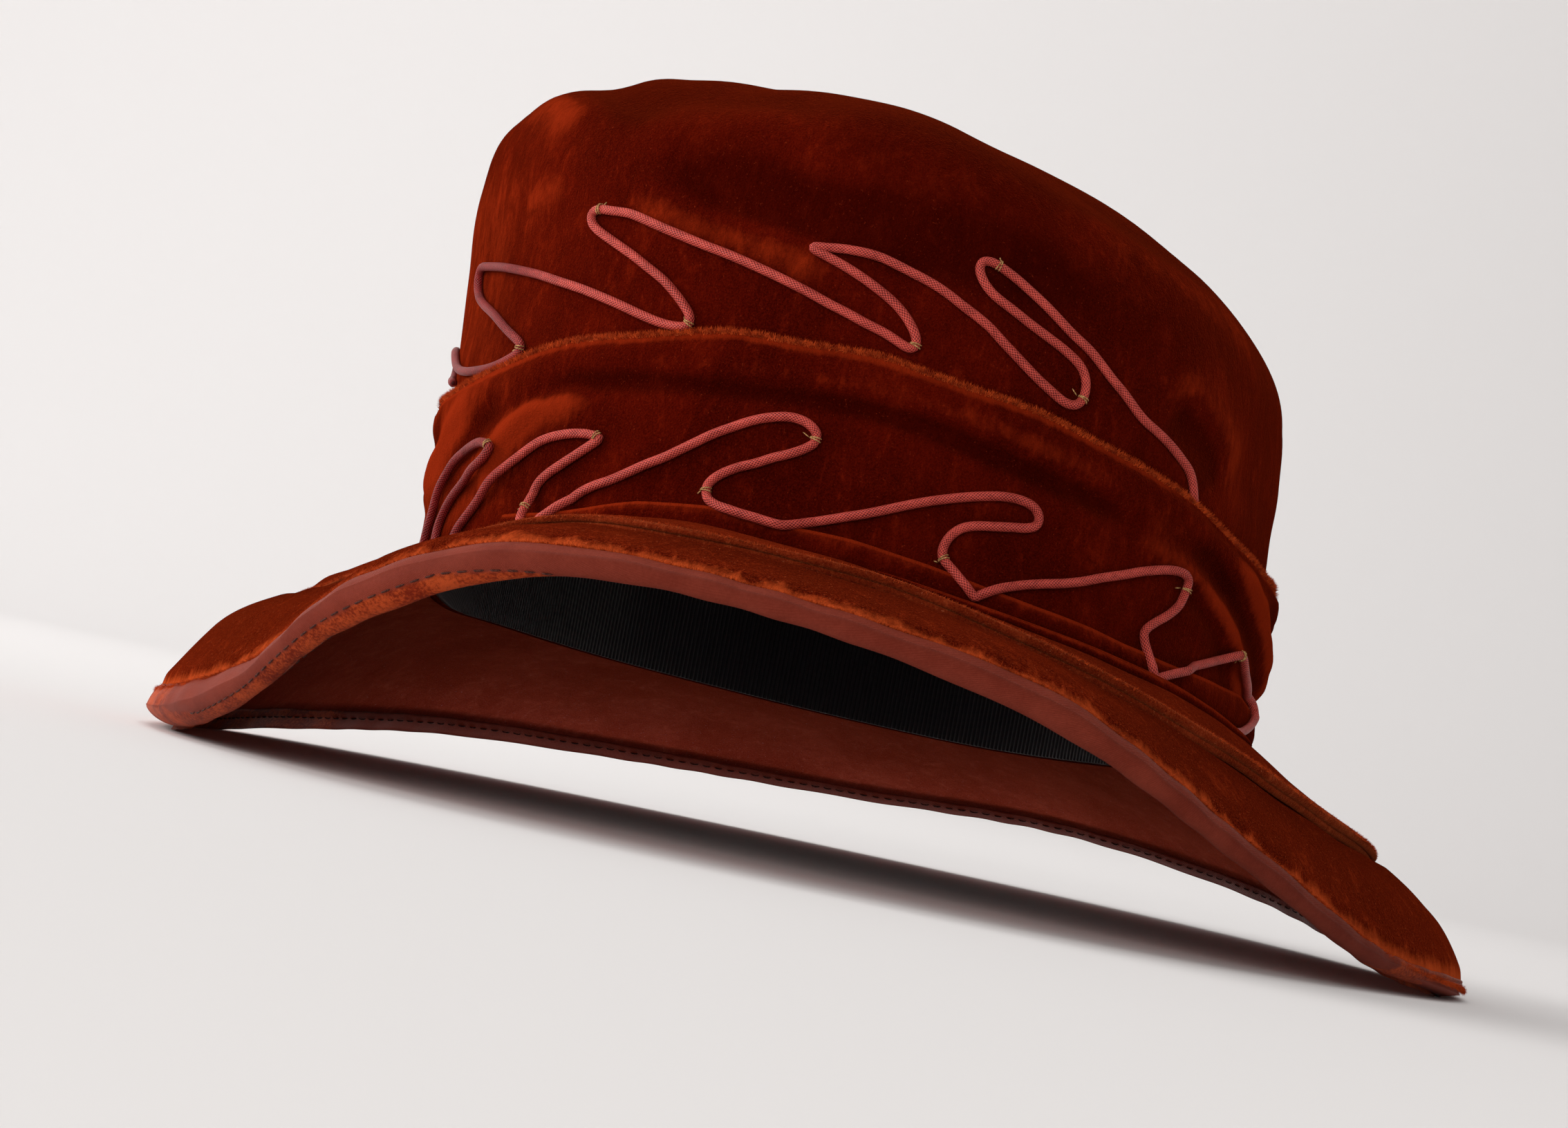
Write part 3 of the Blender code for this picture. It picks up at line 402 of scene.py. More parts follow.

# The brim
# Two layers of velvet over a stiffened cloth, cut as a wide ring and steamed so that both sides droop.
# The underside shows its pile as well, pinker and far brighter than the top: partly its own colour, partly painted
# light that stands in for the light under the brim.
BRIM_WALL, BINDING_WALL, CLEARANCE = 0.0012, 0.0009, 0.0003
BRIM_FOOT = BINDING_WALL + CLEARANCE
BRIM_TOP = BRIM_FOOT + BRIM_WALL
SEAM_SHARE = 0.012
BRIM_COLUMNS, UNDER_ROWS, TOP_ROWS = 384, 40, 84
# Mean radii of the upper fold, the brim and its edge, for their UV maps
FOLD_RADIUS, BRIM_RADIUS, EDGE_RADIUS = 0.12, 0.13, 0.15


def brim_section(azimuth, share):
    """Out, down and slope of the underside: a cubic Bezier from seam to edge with the table's two slopes."""
    seam, out, drop = (BRIM_WIDTH * around(BRIM_ROUND, place, azimuth) for place in (1, 2, 3))
    root, edge = (np.radians(around(BRIM_ROUND, place, azimuth)) for place in (4, 5))
    handle = 0.36 * np.hypot(out, drop - seam)
    across = (0 * out, handle * np.cos(root), out - handle * np.cos(edge), out)
    down = (seam, seam + handle * np.sin(root), drop - handle * np.sin(edge), drop)
    keep = 1 - share
    weights = (keep ** 3, 3 * share * keep ** 2, 3 * share ** 2 * keep, share ** 3)
    rates = (-3 * keep ** 2, 3 * keep * (1 - 3 * share), 3 * share * (2 - 3 * share), 3 * share ** 2)
    place = [sum(w * p for w, p in zip(weights, points)) for points in (across, down)]
    rate = [sum(w * p for w, p in zip(rates, points)) for points in (across, down)]
    return place[0], place[1], np.arctan2(rate[1], rate[0])


def brim_point(azimuth, share, lift=0.0, past=0.0):
    """The underside at a share of the brim's width, raised square to its slope and moved out along it."""
    azimuth, share = np.broadcast_arrays(np.asarray(azimuth, float), np.asarray(share, float))
    out, down, slope = brim_section(azimuth, share)
    radius = head_radius(azimuth) + out + lift * np.sin(slope) + past * np.cos(slope)
    x, y = outward(azimuth)
    return np.stack([radius * x, radius * y, lift * np.cos(slope) - down - past * np.sin(slope)], -1)


def brim_swell(azimuth, share):
    """Small soft waves of the brim's cloth, in metres, dying away at the seam and under the binding."""
    around_brim = np.radians(azimuth)
    waves = (np.sin(9 * around_brim + 5 * share) + 0.7 * np.sin(17 * around_brim - 7 * share + 1)
             + 0.5 * np.sin(31 * around_brim + 11 * share + 2))
    return 0.00022 * waves * smooth_step(0.04, 0.3, share) * smooth_step(0.90, 0.80, share)


# azimuth, how far the upper fold comes out as a share of the width, its lips' thickness as a share, the width of
# the binding's upper side and how far the brim's edge is puffed up, both in metres
EDGE_ROUND = np.array((
    (-180, 0.53, 0.85, 0.0065, 0.0), (-150, 0.53, 0.85, 0.0065, 0.0), (-125, 0.50, 0.75, 0.0065, 0.0010),
    (-100, 0.43, 0.30, 0.0060, 0.0034), (-80, 0.40, 0.22, 0.0060, 0.0038), (-60, 0.38, 0.30, 0.0062, 0.0038),
    (-50, 0.42, 0.65, 0.0060, 0.0028), (-42, 0.46, 0.80, 0.0056, 0.0022), (-35, 0.52, 0.85, 0.0056, 0.0034),
    (-29, 0.56, 0.90, 0.0056, 0.0044), (-22, 0.59, 1.00, 0.0052, 0.0036), (-15, 0.635, 1.00, 0.0044, 0.0016),
    (-8, 0.665, 1.00, 0.0036, 0.0006), (0, 0.63, 1.05, 0.0036, 0.0004), (10, 0.56, 1.25, 0.0040, 0.0008),
    (20, 0.57, 1.35, 0.0048, 0.0018), (30, 0.545, 1.35, 0.0042, 0.0010), (40, 0.53, 1.35, 0.0036, 0.0004),
    (60, 0.53, 1.30, 0.0024, 0.0004), (80, 0.53, 1.20, 0.0014, 0.0020), (100, 0.53, 1.00, 0.0014, 0.0026),
    (120, 0.53, 0.90, 0.0040, 0.0010), (140, 0.53, 0.85, 0.0060, 0.0)))


def strip_puff(azimuth, share):
    """The outer strip swells between the fold's lips and the binding, and stands level with the binding's edge."""
    reach, upper = around(EDGE_ROUND, 1, azimuth), around(EDGE_ROUND, 3, azimuth)
    behind = (1 - share) * BRIM_WIDTH - upper
    swell = 0.0010 * smooth_step(-0.0002, 0.0006, behind) + 0.0009 * smooth_step(0.0004, 0.0045, behind)
    return (swell * smooth_step(reach - 0.01, reach + 0.07, share)
            + around(EDGE_ROUND, 4, azimuth) * smooth_step(reach - 0.02, np.minimum(0.93, reach + 0.28), share))


brim_azimuth = np.linspace(-180, 180, BRIM_COLUMNS, endpoint=False)
tuck = np.minimum(0.45 * around(EDGE_ROUND, 3, brim_azimuth), 0.0028)
rim_share = (1 - (tuck + 0.0003) / BRIM_WIDTH)[None, :]
share = SEAM_SHARE + (rim_share - SEAM_SHARE) * np.linspace(0, 1, UNDER_ROWS)[:, None]
underside = brim_point(brim_azimuth, share,
                       BRIM_FOOT - 0.0003 * smooth_step(0.89, 0.85, share) + brim_swell(brim_azimuth, share))
share = SEAM_SHARE + (rim_share - SEAM_SHARE) * (1 - np.linspace(0, 1, TOP_ROWS)[:, None] ** 1.25)
brim_top = brim_point(brim_azimuth, share,
                      BRIM_TOP + strip_puff(brim_azimuth, share) + brim_swell(brim_azimuth, share))
# Painted highlight in a ragged line beside the binding, painted shade in the hollow past the upper fold, the whole
# top a little darker, and painted light on the outer strip at the wearer's left
turned = np.radians(brim_azimuth)
behind = (1 - share) * BRIM_WIDTH - around(EDGE_ROUND, 3, brim_azimuth)
past_fold = share - around(EDGE_ROUND, 1, brim_azimuth)
highlight_wobble = 0.40 * np.sin(41 * turned + 3 * np.sin(13 * turned)) + 0.30 * np.sin(97 * turned + 2 * np.sin(29 * turned))
ragged = np.maximum(1.0 + highlight_wobble * smooth_step(70, 40, np.abs(brim_azimuth)), 0.30)
brim_painted_light = (1.25 * np.exp(-(behind / (0.0036 * ragged)) ** 2) - 1.1 * np.exp(-(past_fold / 0.110) ** 2) - 0.42
            + 0.45 * smooth_step(55, 85, brim_azimuth) * smooth_step(125, 100, brim_azimuth)
            * smooth_step(0.65, 0.9, share))
brim_velvet = velvet("brim_velvet", (0.034, 0.0014, 0.0005, 1.0), (0.066, 0.0030, 0.0009, 1.0),
                     (0.40, 0.046, 0.010, 1.0))
# Painted light: the underside's velvet is several times brighter than the top's, standing in for light under the brim
underside_painted_bright = velvet("underside_velvet_painted_bright", (0.400, 0.0420, 0.0210, 1.0), (0.580, 0.0860, 0.0500, 1.0),
                      (0.75, 0.150, 0.090, 1.0), 0.4, (1.0, 0.22, 0.08, 1.0))
brim_piece = sew("brim_cloth", settle(np.concatenate([underside, brim_top])), [brim_velvet, underside_painted_bright],
                 (True, True), around_scale=np.radians(360 / BRIM_COLUMNS) * BRIM_RADIUS, up_scale=0.002,
                 faces_of=np.repeat((1, 0), (UNDER_ROWS, TOP_ROWS)),
                 light_and_pile=np.concatenate([np.zeros((UNDER_ROWS, BRIM_COLUMNS)), brim_painted_light]))
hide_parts("brim")

# The upper fold
# A second layer of velvet that comes out from under the band and is turned under half way across the brim.
# Its edge is two soft rolled lips, one on the other, where the pile parts and the backing shows tan.
FOLD_WALL = 0.0013
# The fold's root lies just outside the band and its pleat, so how far those two stand off the crown comes first
BAND_PUFF, BAND_WALL = 0.0034, 0.0015
BAND_STEP_LOW, BAND_STEP_HIGH = 0.24, 0.40
# azimuth, top, low_puff, high_puff
BAND_ROUND = np.array((
    (-180, 0.340, 0.75, 0.90), (-150, 0.330, 0.75, 0.90), (-120, 0.310, 0.65, 0.90), (-90, 0.290, 0.45, 0.85),
    (-60, 0.278, 0.60, 0.90), (-45, 0.295, 0.80, 1.00), (-30, 0.342, 0.80, 0.90), (-10, 0.374, 0.80, 0.85),
    (10, 0.376, 0.80, 0.85), (30, 0.356, 0.80, 0.90), (45, 0.333, 0.75, 1.00), (60, 0.295, 0.65, 1.10),
    (90, 0.300, 0.45, 1.15), (120, 0.315, 0.60, 1.05), (150, 0.330, 0.75, 0.90)))
PLEAT_FROM, PLEAT_TO, PLEAT_OUT = -37.0, 84.0, 0.0008


def band_foot(azimuth):
    """The band stands on the brim: its foot as a share of the crown's height."""
    return (BRIM_TOP + 2 * CLEARANCE) / (CROWN_HEIGHT + SEAM_EASE * seam_drop(azimuth))


def band_puff(azimuth, share):
    """How far the band stands off the crown: its low puff, then its high puff, less near the turned top."""
    low, high = around(BAND_ROUND, 2, azimuth), around(BAND_ROUND, 3, azimuth)
    puff = low + (high - low) * smooth_step(BAND_STEP_LOW, BAND_STEP_HIGH, share)
    return np.maximum(BAND_PUFF * puff, BAND_WALL + CLEARANCE)


def pleat_lift(azimuth):
    """The pleat's face lies outside the fullest part of the band's foot."""
    fullest = np.max([band_puff(azimuth, share) for share in (0.0, 0.08, 0.16, 0.24)], axis=0)
    return fullest + CLEARANCE + BAND_WALL + PLEAT_OUT


def fold_root(azimuth):
    """Where the fold begins: just outside the band, or outside the pleat where there is one."""
    over_pleat = smooth_step(-5, 0, azimuth - PLEAT_FROM) * smooth_step(5, 0, azimuth - PLEAT_TO)
    inner = band_puff(azimuth, 0.0) + over_pleat * (pleat_lift(azimuth) - band_puff(azimuth, 0.0))
    return (inner + 3 * CLEARANCE) / BRIM_WIDTH / 0.75


def fold_top(azimuth, share):
    """Lift of the fold's upper face over the brim's underside, rising towards the rolled edge."""
    return BRIM_TOP + CLEARANCE + FOLD_WALL + 0.0030 * share ** 3 + brim_swell(azimuth, share)


LIP, BOTTOM_ROWS, ARC_ROWS, OVER_ROWS = 0.0007, 14, 9, 22
lip_low = np.radians(np.linspace(-90, 80, ARC_ROWS))
lip_high = np.radians(np.linspace(-80, 90, ARC_ROWS))
edge_out = np.concatenate([LIP * np.cos(lip_low), [-0.00075], LIP * np.cos(lip_high) + 0.0002]) - 0.0007
edge_up = np.concatenate([LIP + LIP * np.sin(lip_low), [2 * LIP], 3 * LIP + LIP * np.sin(lip_high)])
fold_bottom = BRIM_TOP + CLEARANCE
root = fold_root(brim_azimuth)
reach, lip_size = around(EDGE_ROUND, 1, brim_azimuth), around(EDGE_ROUND, 2, brim_azimuth)
bottom_way = np.linspace(0, 1, BOTTOM_ROWS)[:, None]
bottom = brim_point(brim_azimuth, root + (reach - 0.012 - root) * bottom_way,
                    fold_bottom + 0.0002 * smooth_step(0.0, 0.3, bottom_way))
ripple = 0.00035 * np.sin(np.radians(brim_azimuth) * 23 + 1.2 * np.sin(np.radians(brim_azimuth) * 7))
wander = 0.00015 * np.sin(np.radians(brim_azimuth) * 13) * (edge_up / edge_up.max())[:, None]
edge = brim_point(brim_azimuth, reach, fold_bottom + edge_up[:, None] * lip_size + wander, edge_out[:, None] + ripple)
top_way = np.linspace(1, 0, OVER_ROWS)[:, None]
top_share = root + (reach - 0.016 - root) * top_way
top_lift = fold_top(brim_azimuth, top_share)
top_lift = top_lift + (fold_bottom + 4 * LIP * lip_size - 0.0001 - top_lift) * smooth_step(0.70, 1.0, top_way)
fold_grid = np.concatenate([bottom, edge, brim_point(brim_azimuth, top_share, top_lift)])
lip_velvet = velvet("lip_velvet", (0.110, 0.0080, 0.0018, 1.0), (0.190, 0.0190, 0.0048, 1.0),
                    (0.38, 0.060, 0.016, 1.0), 0.4, (1.0, 0.25, 0.08, 1.0))
fold_piece = sew("upper_fold", settle(fold_grid), [brim_velvet, lip_velvet], (True, True),
                 around_scale=np.radians(360 / BRIM_COLUMNS) * FOLD_RADIUS, up_scale=0.002,
                 faces_of=np.repeat((0, 1, 0), (BOTTOM_ROWS, len(edge_up), OVER_ROWS)))
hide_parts("brim_fold")

# The binding
# A bias strip of dull brown satin, folded over the brim's edge and stitched through near both of its own edges.
# It puffs a little over the edge and dimples at the stitches.
BINDING_WIDTH, BINDING_NOSE, BINDING_THICK = 0.0075, 0.0014, 2 * (BINDING_WALL + CLEARANCE) + BRIM_WALL
BINDING_COLUMNS, SIDE_ROWS, NOSE_ROWS, INNER_ROWS = 720, 9, 21, 7
binding_azimuth = np.linspace(-180, 180, BINDING_COLUMNS, endpoint=False)
upper, edge_puff = around(EDGE_ROUND, 3, binding_azimuth), around(EDGE_ROUND, 4, binding_azimuth)
tuck = np.minimum(0.45 * upper, 0.0028)
way = np.linspace(0, 1, SIDE_ROWS)[:, None]
nose_turn = np.radians(np.linspace(-80, 80, NOSE_ROWS))[:, None]
inner_way = np.array((0.0, 0.04, 0.5, 1.0))[:, None]
flat = np.ones(BINDING_COLUMNS)
# The strip is drawn tight over the two tips, which leaves its front a little farther in
tip_draw = (0.0022 * np.exp(-((binding_azimuth + 84) / 22) ** 2)
            + 0.0024 * np.exp(-((binding_azimuth - 84) / 20) ** 2))
thick = BINDING_THICK + edge_puff
bulge = 0.00035 * np.sin(np.pi * way) * flat
nose_height = thick * (0.5 + 0.52 * np.sin(nose_turn))
# Rows go out along the lower side, round the nose, back along the upper side, and home inside the strip
binding_back = np.concatenate([
    BINDING_WIDTH + (0.0006 - BINDING_WIDTH) * way * flat, 0 * nose_turn * flat,
    0.0005 + 0.8 * tip_draw + (upper - 0.0005) * way, upper - 0.0001 + (tuck - upper) * inner_way,
    tuck + (BINDING_WIDTH - 0.0003 - tuck) * inner_way[1:]])
binding_past = np.concatenate([
    0 * way * flat, (BINDING_NOSE * 0.9 + 0.1 * edge_puff) * np.cos(nose_turn) - (0.0006 + tip_draw) * flat,
    0 * way * flat, np.zeros((INNER_ROWS, BINDING_COLUMNS))])
binding_lift = np.concatenate([
    -bulge, nose_height, thick + bulge,
    thick - np.array((0.00025, BINDING_WALL, BINDING_WALL, BINDING_WALL))[:, None],
    np.array((BINDING_WALL, BINDING_WALL, 0.00025))[:, None] * flat])
# The outer faces ease up and down between the stitches, the lower one against the upper
binding_ease = 0.00014 * np.sin(np.radians(binding_azimuth) * 57 + 2 * np.sin(np.radians(binding_azimuth) * 11))
face_share = np.concatenate([np.full(SIDE_ROWS, -1.0), np.linspace(-1, 1, NOSE_ROWS), np.full(SIDE_ROWS, 1.0),
                             np.zeros(INNER_ROWS)])
# azimuth, how high up the strip's front the underside's velvet rolls: all over it at the two tips
LOW_PILE = np.array(((-180, -0.001), (-128, -0.001), (-108, 0.008), (-64, 0.008), (-54, 0.0036), (-45, 0.0030),
                     (-35, 0.0036), (-28, 0.0042), (-22, 0.0040), (-18, 0.0022), (-14, 0.0004), (-11, -0.001),
                     (54, -0.001), (62, 0.0014), (68, 0.008), (110, 0.008), (125, -0.001), (180, -0.001)))
pile_height = np.interp(binding_azimuth, *LOW_PILE.T)
binding_height = np.concatenate([0 * way * flat, nose_height, 0 * way + thick, np.ones((INNER_ROWS, BINDING_COLUMNS))])
binding_nap = smooth_step(0.0002, -0.0002,
                          binding_height - pile_height - 0.00015 * np.sin(np.radians(binding_azimuth) * 61))
binding_grid = brim_point(binding_azimuth[None, :], 1 - binding_back / BRIM_WIDTH,
                          binding_lift + binding_ease * face_share[:, None], binding_past)


def satin(name, dark, light):
    """Satin weave: fine slanting ribs on the strip's own UV map, with soft cloudy wear, and velvet where nap is 1."""
    cloth = Finish(name, {"Roughness": 0.42, "Specular IOR Level": 0.03, "Sheen Weight": 0.05, "Sheen Roughness": 0.3,
                          "Sheen Tint": (1.0, 0.35, 0.22, 1.0)})
    slanting = cloth.place((1.0, 1.0, 1.0), (0.0, 0.0, 0.78), "UV")
    ribs = cloth.node("TexWave", {"wave_type": "BANDS", "bands_direction": "X"},
                      {"Vector": slanting, "Scale": 900.0, "Distortion": 1.5, "Detail": 1.0, "Detail Scale": 3.0})
    wear = cloth.noise(cloth.place(), 120.0, 3.0, 0.6)
    fine = cloth.noise(cloth.place(), 1600.0, 2.0, 0.6)
    colour = cloth.mix(cloth.between(ribs * 0.35 + wear * 0.55 + fine * 0.25, 0.30, 0.85), dark, light)
    pile = cloth.mix(cloth.between(fine * 0.6 + wear * 0.6, 0.45, 0.75), (0.170, 0.013, 0.003, 1.0),
                     (0.480, 0.070, 0.016, 1.0))
    colour = cloth.mix(cloth.node("Attribute", {"attribute_name": "light_and_pile"}, {}, "Fac"), colour, pile)
    cloth.feed(cloth.shader.inputs["Base Color"], colour)
    cloth.bump(ribs * 0.7 + fine * 0.4, 0.00012)
    return cloth.material


binding_satin = satin("binding_satin", (0.150, 0.019, 0.010, 1.0), (0.270, 0.047, 0.027, 1.0))
binding_piece = sew("bound_edge", settle(binding_grid), [binding_satin], (True, True),
                    around_scale=np.radians(360 / BINDING_COLUMNS) * EDGE_RADIUS, up_scale=0.0008, light_and_pile=binding_nap)
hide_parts("brim_binding")


def tubes(name, paths, radius, finish, sides=6):
    """Threads: hexagons carried along each path, closed and narrowed at both ends, and joined in one mesh."""
    made_points, made_faces, start = [], [], 0
    angle = np.linspace(0, 2 * np.pi, sides, endpoint=False)
    for path in paths:
        ahead = np.gradient(path, axis=0)
        ahead /= np.linalg.norm(ahead, axis=1, keepdims=True)
        first = np.cross(ahead, np.array([0.31, 0.22, 0.93]))
        first /= np.linalg.norm(first, axis=1, keepdims=True)
        second = np.cross(ahead, first)
        narrow = np.ones(len(path))
        narrow[[0, -1]] = 0.45
        ring = (first[:, None] * np.cos(angle)[None, :, None] + second[:, None] * np.sin(angle)[None, :, None])
        made_points.append((path[:, None] + ring * (radius * narrow)[:, None, None]).reshape(-1, 3))
        r, c = np.meshgrid(np.arange(len(path) - 1), np.arange(sides), indexing="ij")
        side = (c + 1) % sides
        quads = np.stack([r * sides + c, r * sides + side, (r + 1) * sides + side, (r + 1) * sides + c], -1)
        made_faces += (quads.reshape(-1, 4) + start).tolist()
        last = start + (len(path) - 1) * sides
        made_faces += [list(range(start, start + sides))[::-1], list(range(last, last + sides))]
        start = last + sides
    mesh = bpy.data.meshes.new(name)
    mesh.from_pydata(np.concatenate(made_points).tolist(), [], made_faces)
    mesh.shade_smooth()
    mesh.materials.append(finish)
    return lay_out(name, mesh)


def thread(name, dark, light):
    """Sewing thread: two shades in fine uneven bands, with a little gloss."""
    cloth = Finish(name, {"Roughness": 0.6, "Specular IOR Level": 0.12})
    strands = cloth.noise(cloth.place(), 2600.0, 1.0, 0.5)
    cloth.feed(cloth.shader.inputs["Base Color"], cloth.mix(cloth.between(strands, 0.35, 0.65), dark, light))
    cloth.bump(strands, 0.0001)
    return cloth.material


# Topstitches, 2 mm long and 3 mm apart: a row all round the strip's underside, 5 mm in from the edge, and a row at
# the front on the wearer's right, where the strip's edge shows above the underside's velvet
STITCH_STEP = 1.2
stitch_bow = np.array((-0.00012, 0.00012, 0.00018, 0.00018, 0.00012, -0.00012))
stitch_reach = np.linspace(-0.40, 0.40, 6)
stitches = []
for turn in np.linspace(-180, 180, int(360 / STITCH_STEP), endpoint=False):
    stitches.append(settle(brim_point(turn + stitch_reach, 1 - 0.0050 / BRIM_WIDTH, -0.0004 - stitch_bow)))
for turn in np.arange(-55.0, -13.5, STITCH_STEP):
    where = turn + stitch_reach
    height = np.interp(where, *LOW_PILE.T) + 0.0004
    puffed = around(EDGE_ROUND, 4, where)
    tilt = np.arcsin(np.clip((height / (BINDING_THICK + puffed) - 0.5) / 0.52, -1, 1))
    out = (BINDING_NOSE * 0.9 + 0.1 * puffed) * np.cos(tilt) - 0.0006
    stitches.append(settle(brim_point(where, 1.0, height, out + stitch_bow)))
stitch_thread = thread("stitch_thread", (0.030, 0.006, 0.004, 1.0), (0.085, 0.022, 0.014, 1.0))
stitch_piece = tubes("binding_stitches", stitches, 0.00019, stitch_thread)

# The ribbon inside
# A black ribbed ribbon, 28 mm wide, sewn by its lower edge to the seam so that it lies against the crown inside.
# Its ribs run up and down, and it eases in and out a little between the stitches.
SWEATBAND_WALL, SWEATBAND_WIDTH, RIBBON_COLUMNS, RIBBON_ROWS = 0.0010, 0.028, 360, 12


def wall_point(azimuth, height, lift=0.0):
    """The crown's upright wall at a share of its height, moved straight out from the head."""
    azimuth, height = np.broadcast_arrays(np.asarray(azimuth, float), np.asarray(height, float))
    point = crown_shell(azimuth, height / PROFILE[1, 1] / (len(PROFILE) - 1))
    x, y = outward(azimuth)
    return point + np.stack([lift * x, lift * y, 0 * azimuth * lift], -1)


ribbon_azimuth = np.linspace(-180, 180, RIBBON_COLUMNS, endpoint=False)
ribbon_rise = np.concatenate([np.linspace(0.0, 1.0, RIBBON_ROWS), np.linspace(1.0, 0.0, RIBBON_ROWS)])
ribbon_in = np.repeat((0.0, SWEATBAND_WALL), RIBBON_ROWS)
ribbon_ease = 0.0005 * np.sin(np.radians(ribbon_azimuth) * 19 + 1.5 * np.sin(np.radians(ribbon_azimuth) * 5)) - 0.0005
ribbon_grid = wall_point(ribbon_azimuth[None, :], (SWEATBAND_WIDTH * ribbon_rise / CROWN_HEIGHT)[:, None],
                         -CROWN_WALL - 2 * CLEARANCE - ribbon_in[:, None] + ribbon_ease * ribbon_rise[:, None])
ribbon_cloth = Finish("black_ribbon", {"Roughness": 0.6, "Specular IOR Level": 0.4, "Sheen Weight": 0.3})
ribbon_ribs = ribbon_cloth.node("TexWave", {"wave_type": "BANDS", "bands_direction": "X"}, {
    "Vector": ribbon_cloth.place(of="UV"), "Scale": 300.0, "Distortion": 0.2})
ribbon_cloth.feed(ribbon_cloth.shader.inputs["Base Color"], ribbon_cloth.mix(
    ribbon_ribs, (0.006, 0.005, 0.006, 1.0), (0.026, 0.022, 0.024, 1.0)))
ribbon_cloth.bump(ribbon_ribs, 0.0004)
ribbon_piece = sew("head_ribbon", settle(ribbon_grid), [ribbon_cloth.material], (True, True),
                   around_scale=np.radians(360 / RIBBON_COLUMNS) * MEAN_RADIUS, up_scale=0.0025)
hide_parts("sweatband")

# The draped band
# A wide bias strip of the same velvet, its top edge turned in, draped in soft folds round the crown's foot.
# It is caught down by hand under the folds and stands on the brim.
BAND_COLUMNS, BAND_ROWS, ROLL_ROWS, TOP_STRIP = 400, 64, 7, 0.085
# rise in mm, width in mm, then the line as azimuth and height share of the crown
BAND_CREASES = (
    (-1.15, 2.2, ((-52, 0.170), (-48.5, 0.187), (-43.1, 0.210), (-37.9, 0.223), (-34.4, 0.249), (-30.7, 0.268),
                  (-22, 0.276), (-14, 0.280), (-5.5, 0.284), (-0.3, 0.289), (3.4, 0.291), (11, 0.286), (19, 0.269),
                  (27.6, 0.257), (37.2, 0.242), (51.9, 0.224), (65.1, 0.186), (74, 0.150))),
    (0.50, 2.0, ((-34, 0.285), (-24, 0.295), (-15.6, 0.299), (-7.9, 0.302), (-0.5, 0.309), (6.8, 0.316), (14.3, 0.318),
                 (22.2, 0.312), (31.1, 0.300), (40, 0.290))),
    (-0.7, 2.0, ((38, 0.372), (41.7, 0.350), (50.9, 0.320), (62.7, 0.290), (76, 0.250))),
    (1.1, 2.2, ((-34, 0.225), (-35.7, 0.215), (-37.2, 0.199), (-40.5, 0.157), (-42.6, 0.112), (-44.4, 0.061))),
    (1.5, 2.8, ((30, 0.252), (36.5, 0.244), (41.5, 0.234), (45.2, 0.225), (49.2, 0.196), (56.8, 0.157), (64.1, 0.113),
                (70.7, 0.073), (76, 0.050))),
    (-1.2, 2.4, ((44, 0.200), (51, 0.160), (60, 0.108), (68, 0.066))),
    (-1.3, 2.4, ((43, 0.270), (46.7, 0.259), (53.1, 0.234), (60.7, 0.192), (70, 0.153), (80, 0.110), (88, 0.080))),
    (1.5, 3.4, ((52, 0.272), (62, 0.245), (74, 0.200), (88, 0.150), (100, 0.110))),
    (-1.0, 3.0, ((70, 0.262), (84, 0.225), (100, 0.180), (114, 0.130))),
    (1.2, 2.8, ((-48, 0.100), (-42.3, 0.145), (-40, 0.184), (-36.8, 0.209), (-32, 0.227), (-26, 0.236))),
    (-1.1, 2.4, ((-56, 0.110), (-50, 0.160), (-46, 0.205), (-42, 0.236))),
    (1.2, 3.0, ((-70, 0.110), (-62, 0.165), (-56, 0.210), (-50, 0.250))),
    (-1.0, 2.6, ((-92, 0.110), (-80, 0.160), (-70, 0.205), (-62, 0.235))),
    (-1.15, 2.2, ((62, 0.226), (90, 0.218), (120, 0.232), (150, 0.246), (180, 0.254), (210, 0.246), (240, 0.228),
                  (270, 0.208), (300, 0.206), (312, 0.236))),
    (1.1, 3.4, ((104, 0.060), (122, 0.120), (140, 0.160), (160, 0.185))),
    (-1.0, 2.8, ((118, 0.062), (136, 0.100), (158, 0.135), (178, 0.160))),
    (1.1, 3.4, ((184, 0.180), (206, 0.150), (228, 0.105), (246, 0.060))),
    (-1.0, 2.8, ((176, 0.120), (198, 0.105), (220, 0.072))),
)


def band_top(azimuth):
    """The band's turned top edge, which dips a little between the hand stitches."""
    scallop = 0.0004 * np.sin(np.radians(azimuth) * 15 + 2 * np.sin(np.radians(azimuth) * 4)) / CROWN_HEIGHT
    return around(BAND_ROUND, 1, azimuth) + scallop


def band_lift(azimuth, height):
    """The puff at this height plus every fold line that passes near, and a slight rumple."""
    foot, top = band_foot(azimuth), around(BAND_ROUND, 1, azimuth)
    share = (height - foot) / (top - foot)
    lift = band_puff(azimuth, np.clip(share, 0, 1))
    lift = lift + 0.001 * folds(azimuth, height, BAND_CREASES, CROWN_HEIGHT)
    strip = 0.0005 * np.sin(np.pi * np.clip((height - (top - TOP_STRIP)) / TOP_STRIP, 0, 1))
    on_wall = wall_point(azimuth, height)
    uneven = 0.00016 * rumple(on_wall, 0.020, 8) + 0.00010 * rumple(on_wall, 0.010, 9)
    lift = lift + strip + uneven * smooth_step(0.0, 0.1, share)
    lift = lift - (lift - 0.0022) * 0.75 * smooth_step(0.93, 1.0, share)
    return np.maximum(lift, BAND_WALL + CLEARANCE)


band_azimuth = np.linspace(-180, 180, BAND_COLUMNS, endpoint=False)
band_rows = np.linspace(0, 1, BAND_ROWS)[:, None]
foot = band_foot(band_azimuth)
heights = foot + (band_top(band_azimuth) - foot) * band_rows
turns = np.broadcast_to(band_azimuth, heights.shape)
outer_lift = band_lift(turns, heights)
outer = wall_point(turns, heights, outer_lift)
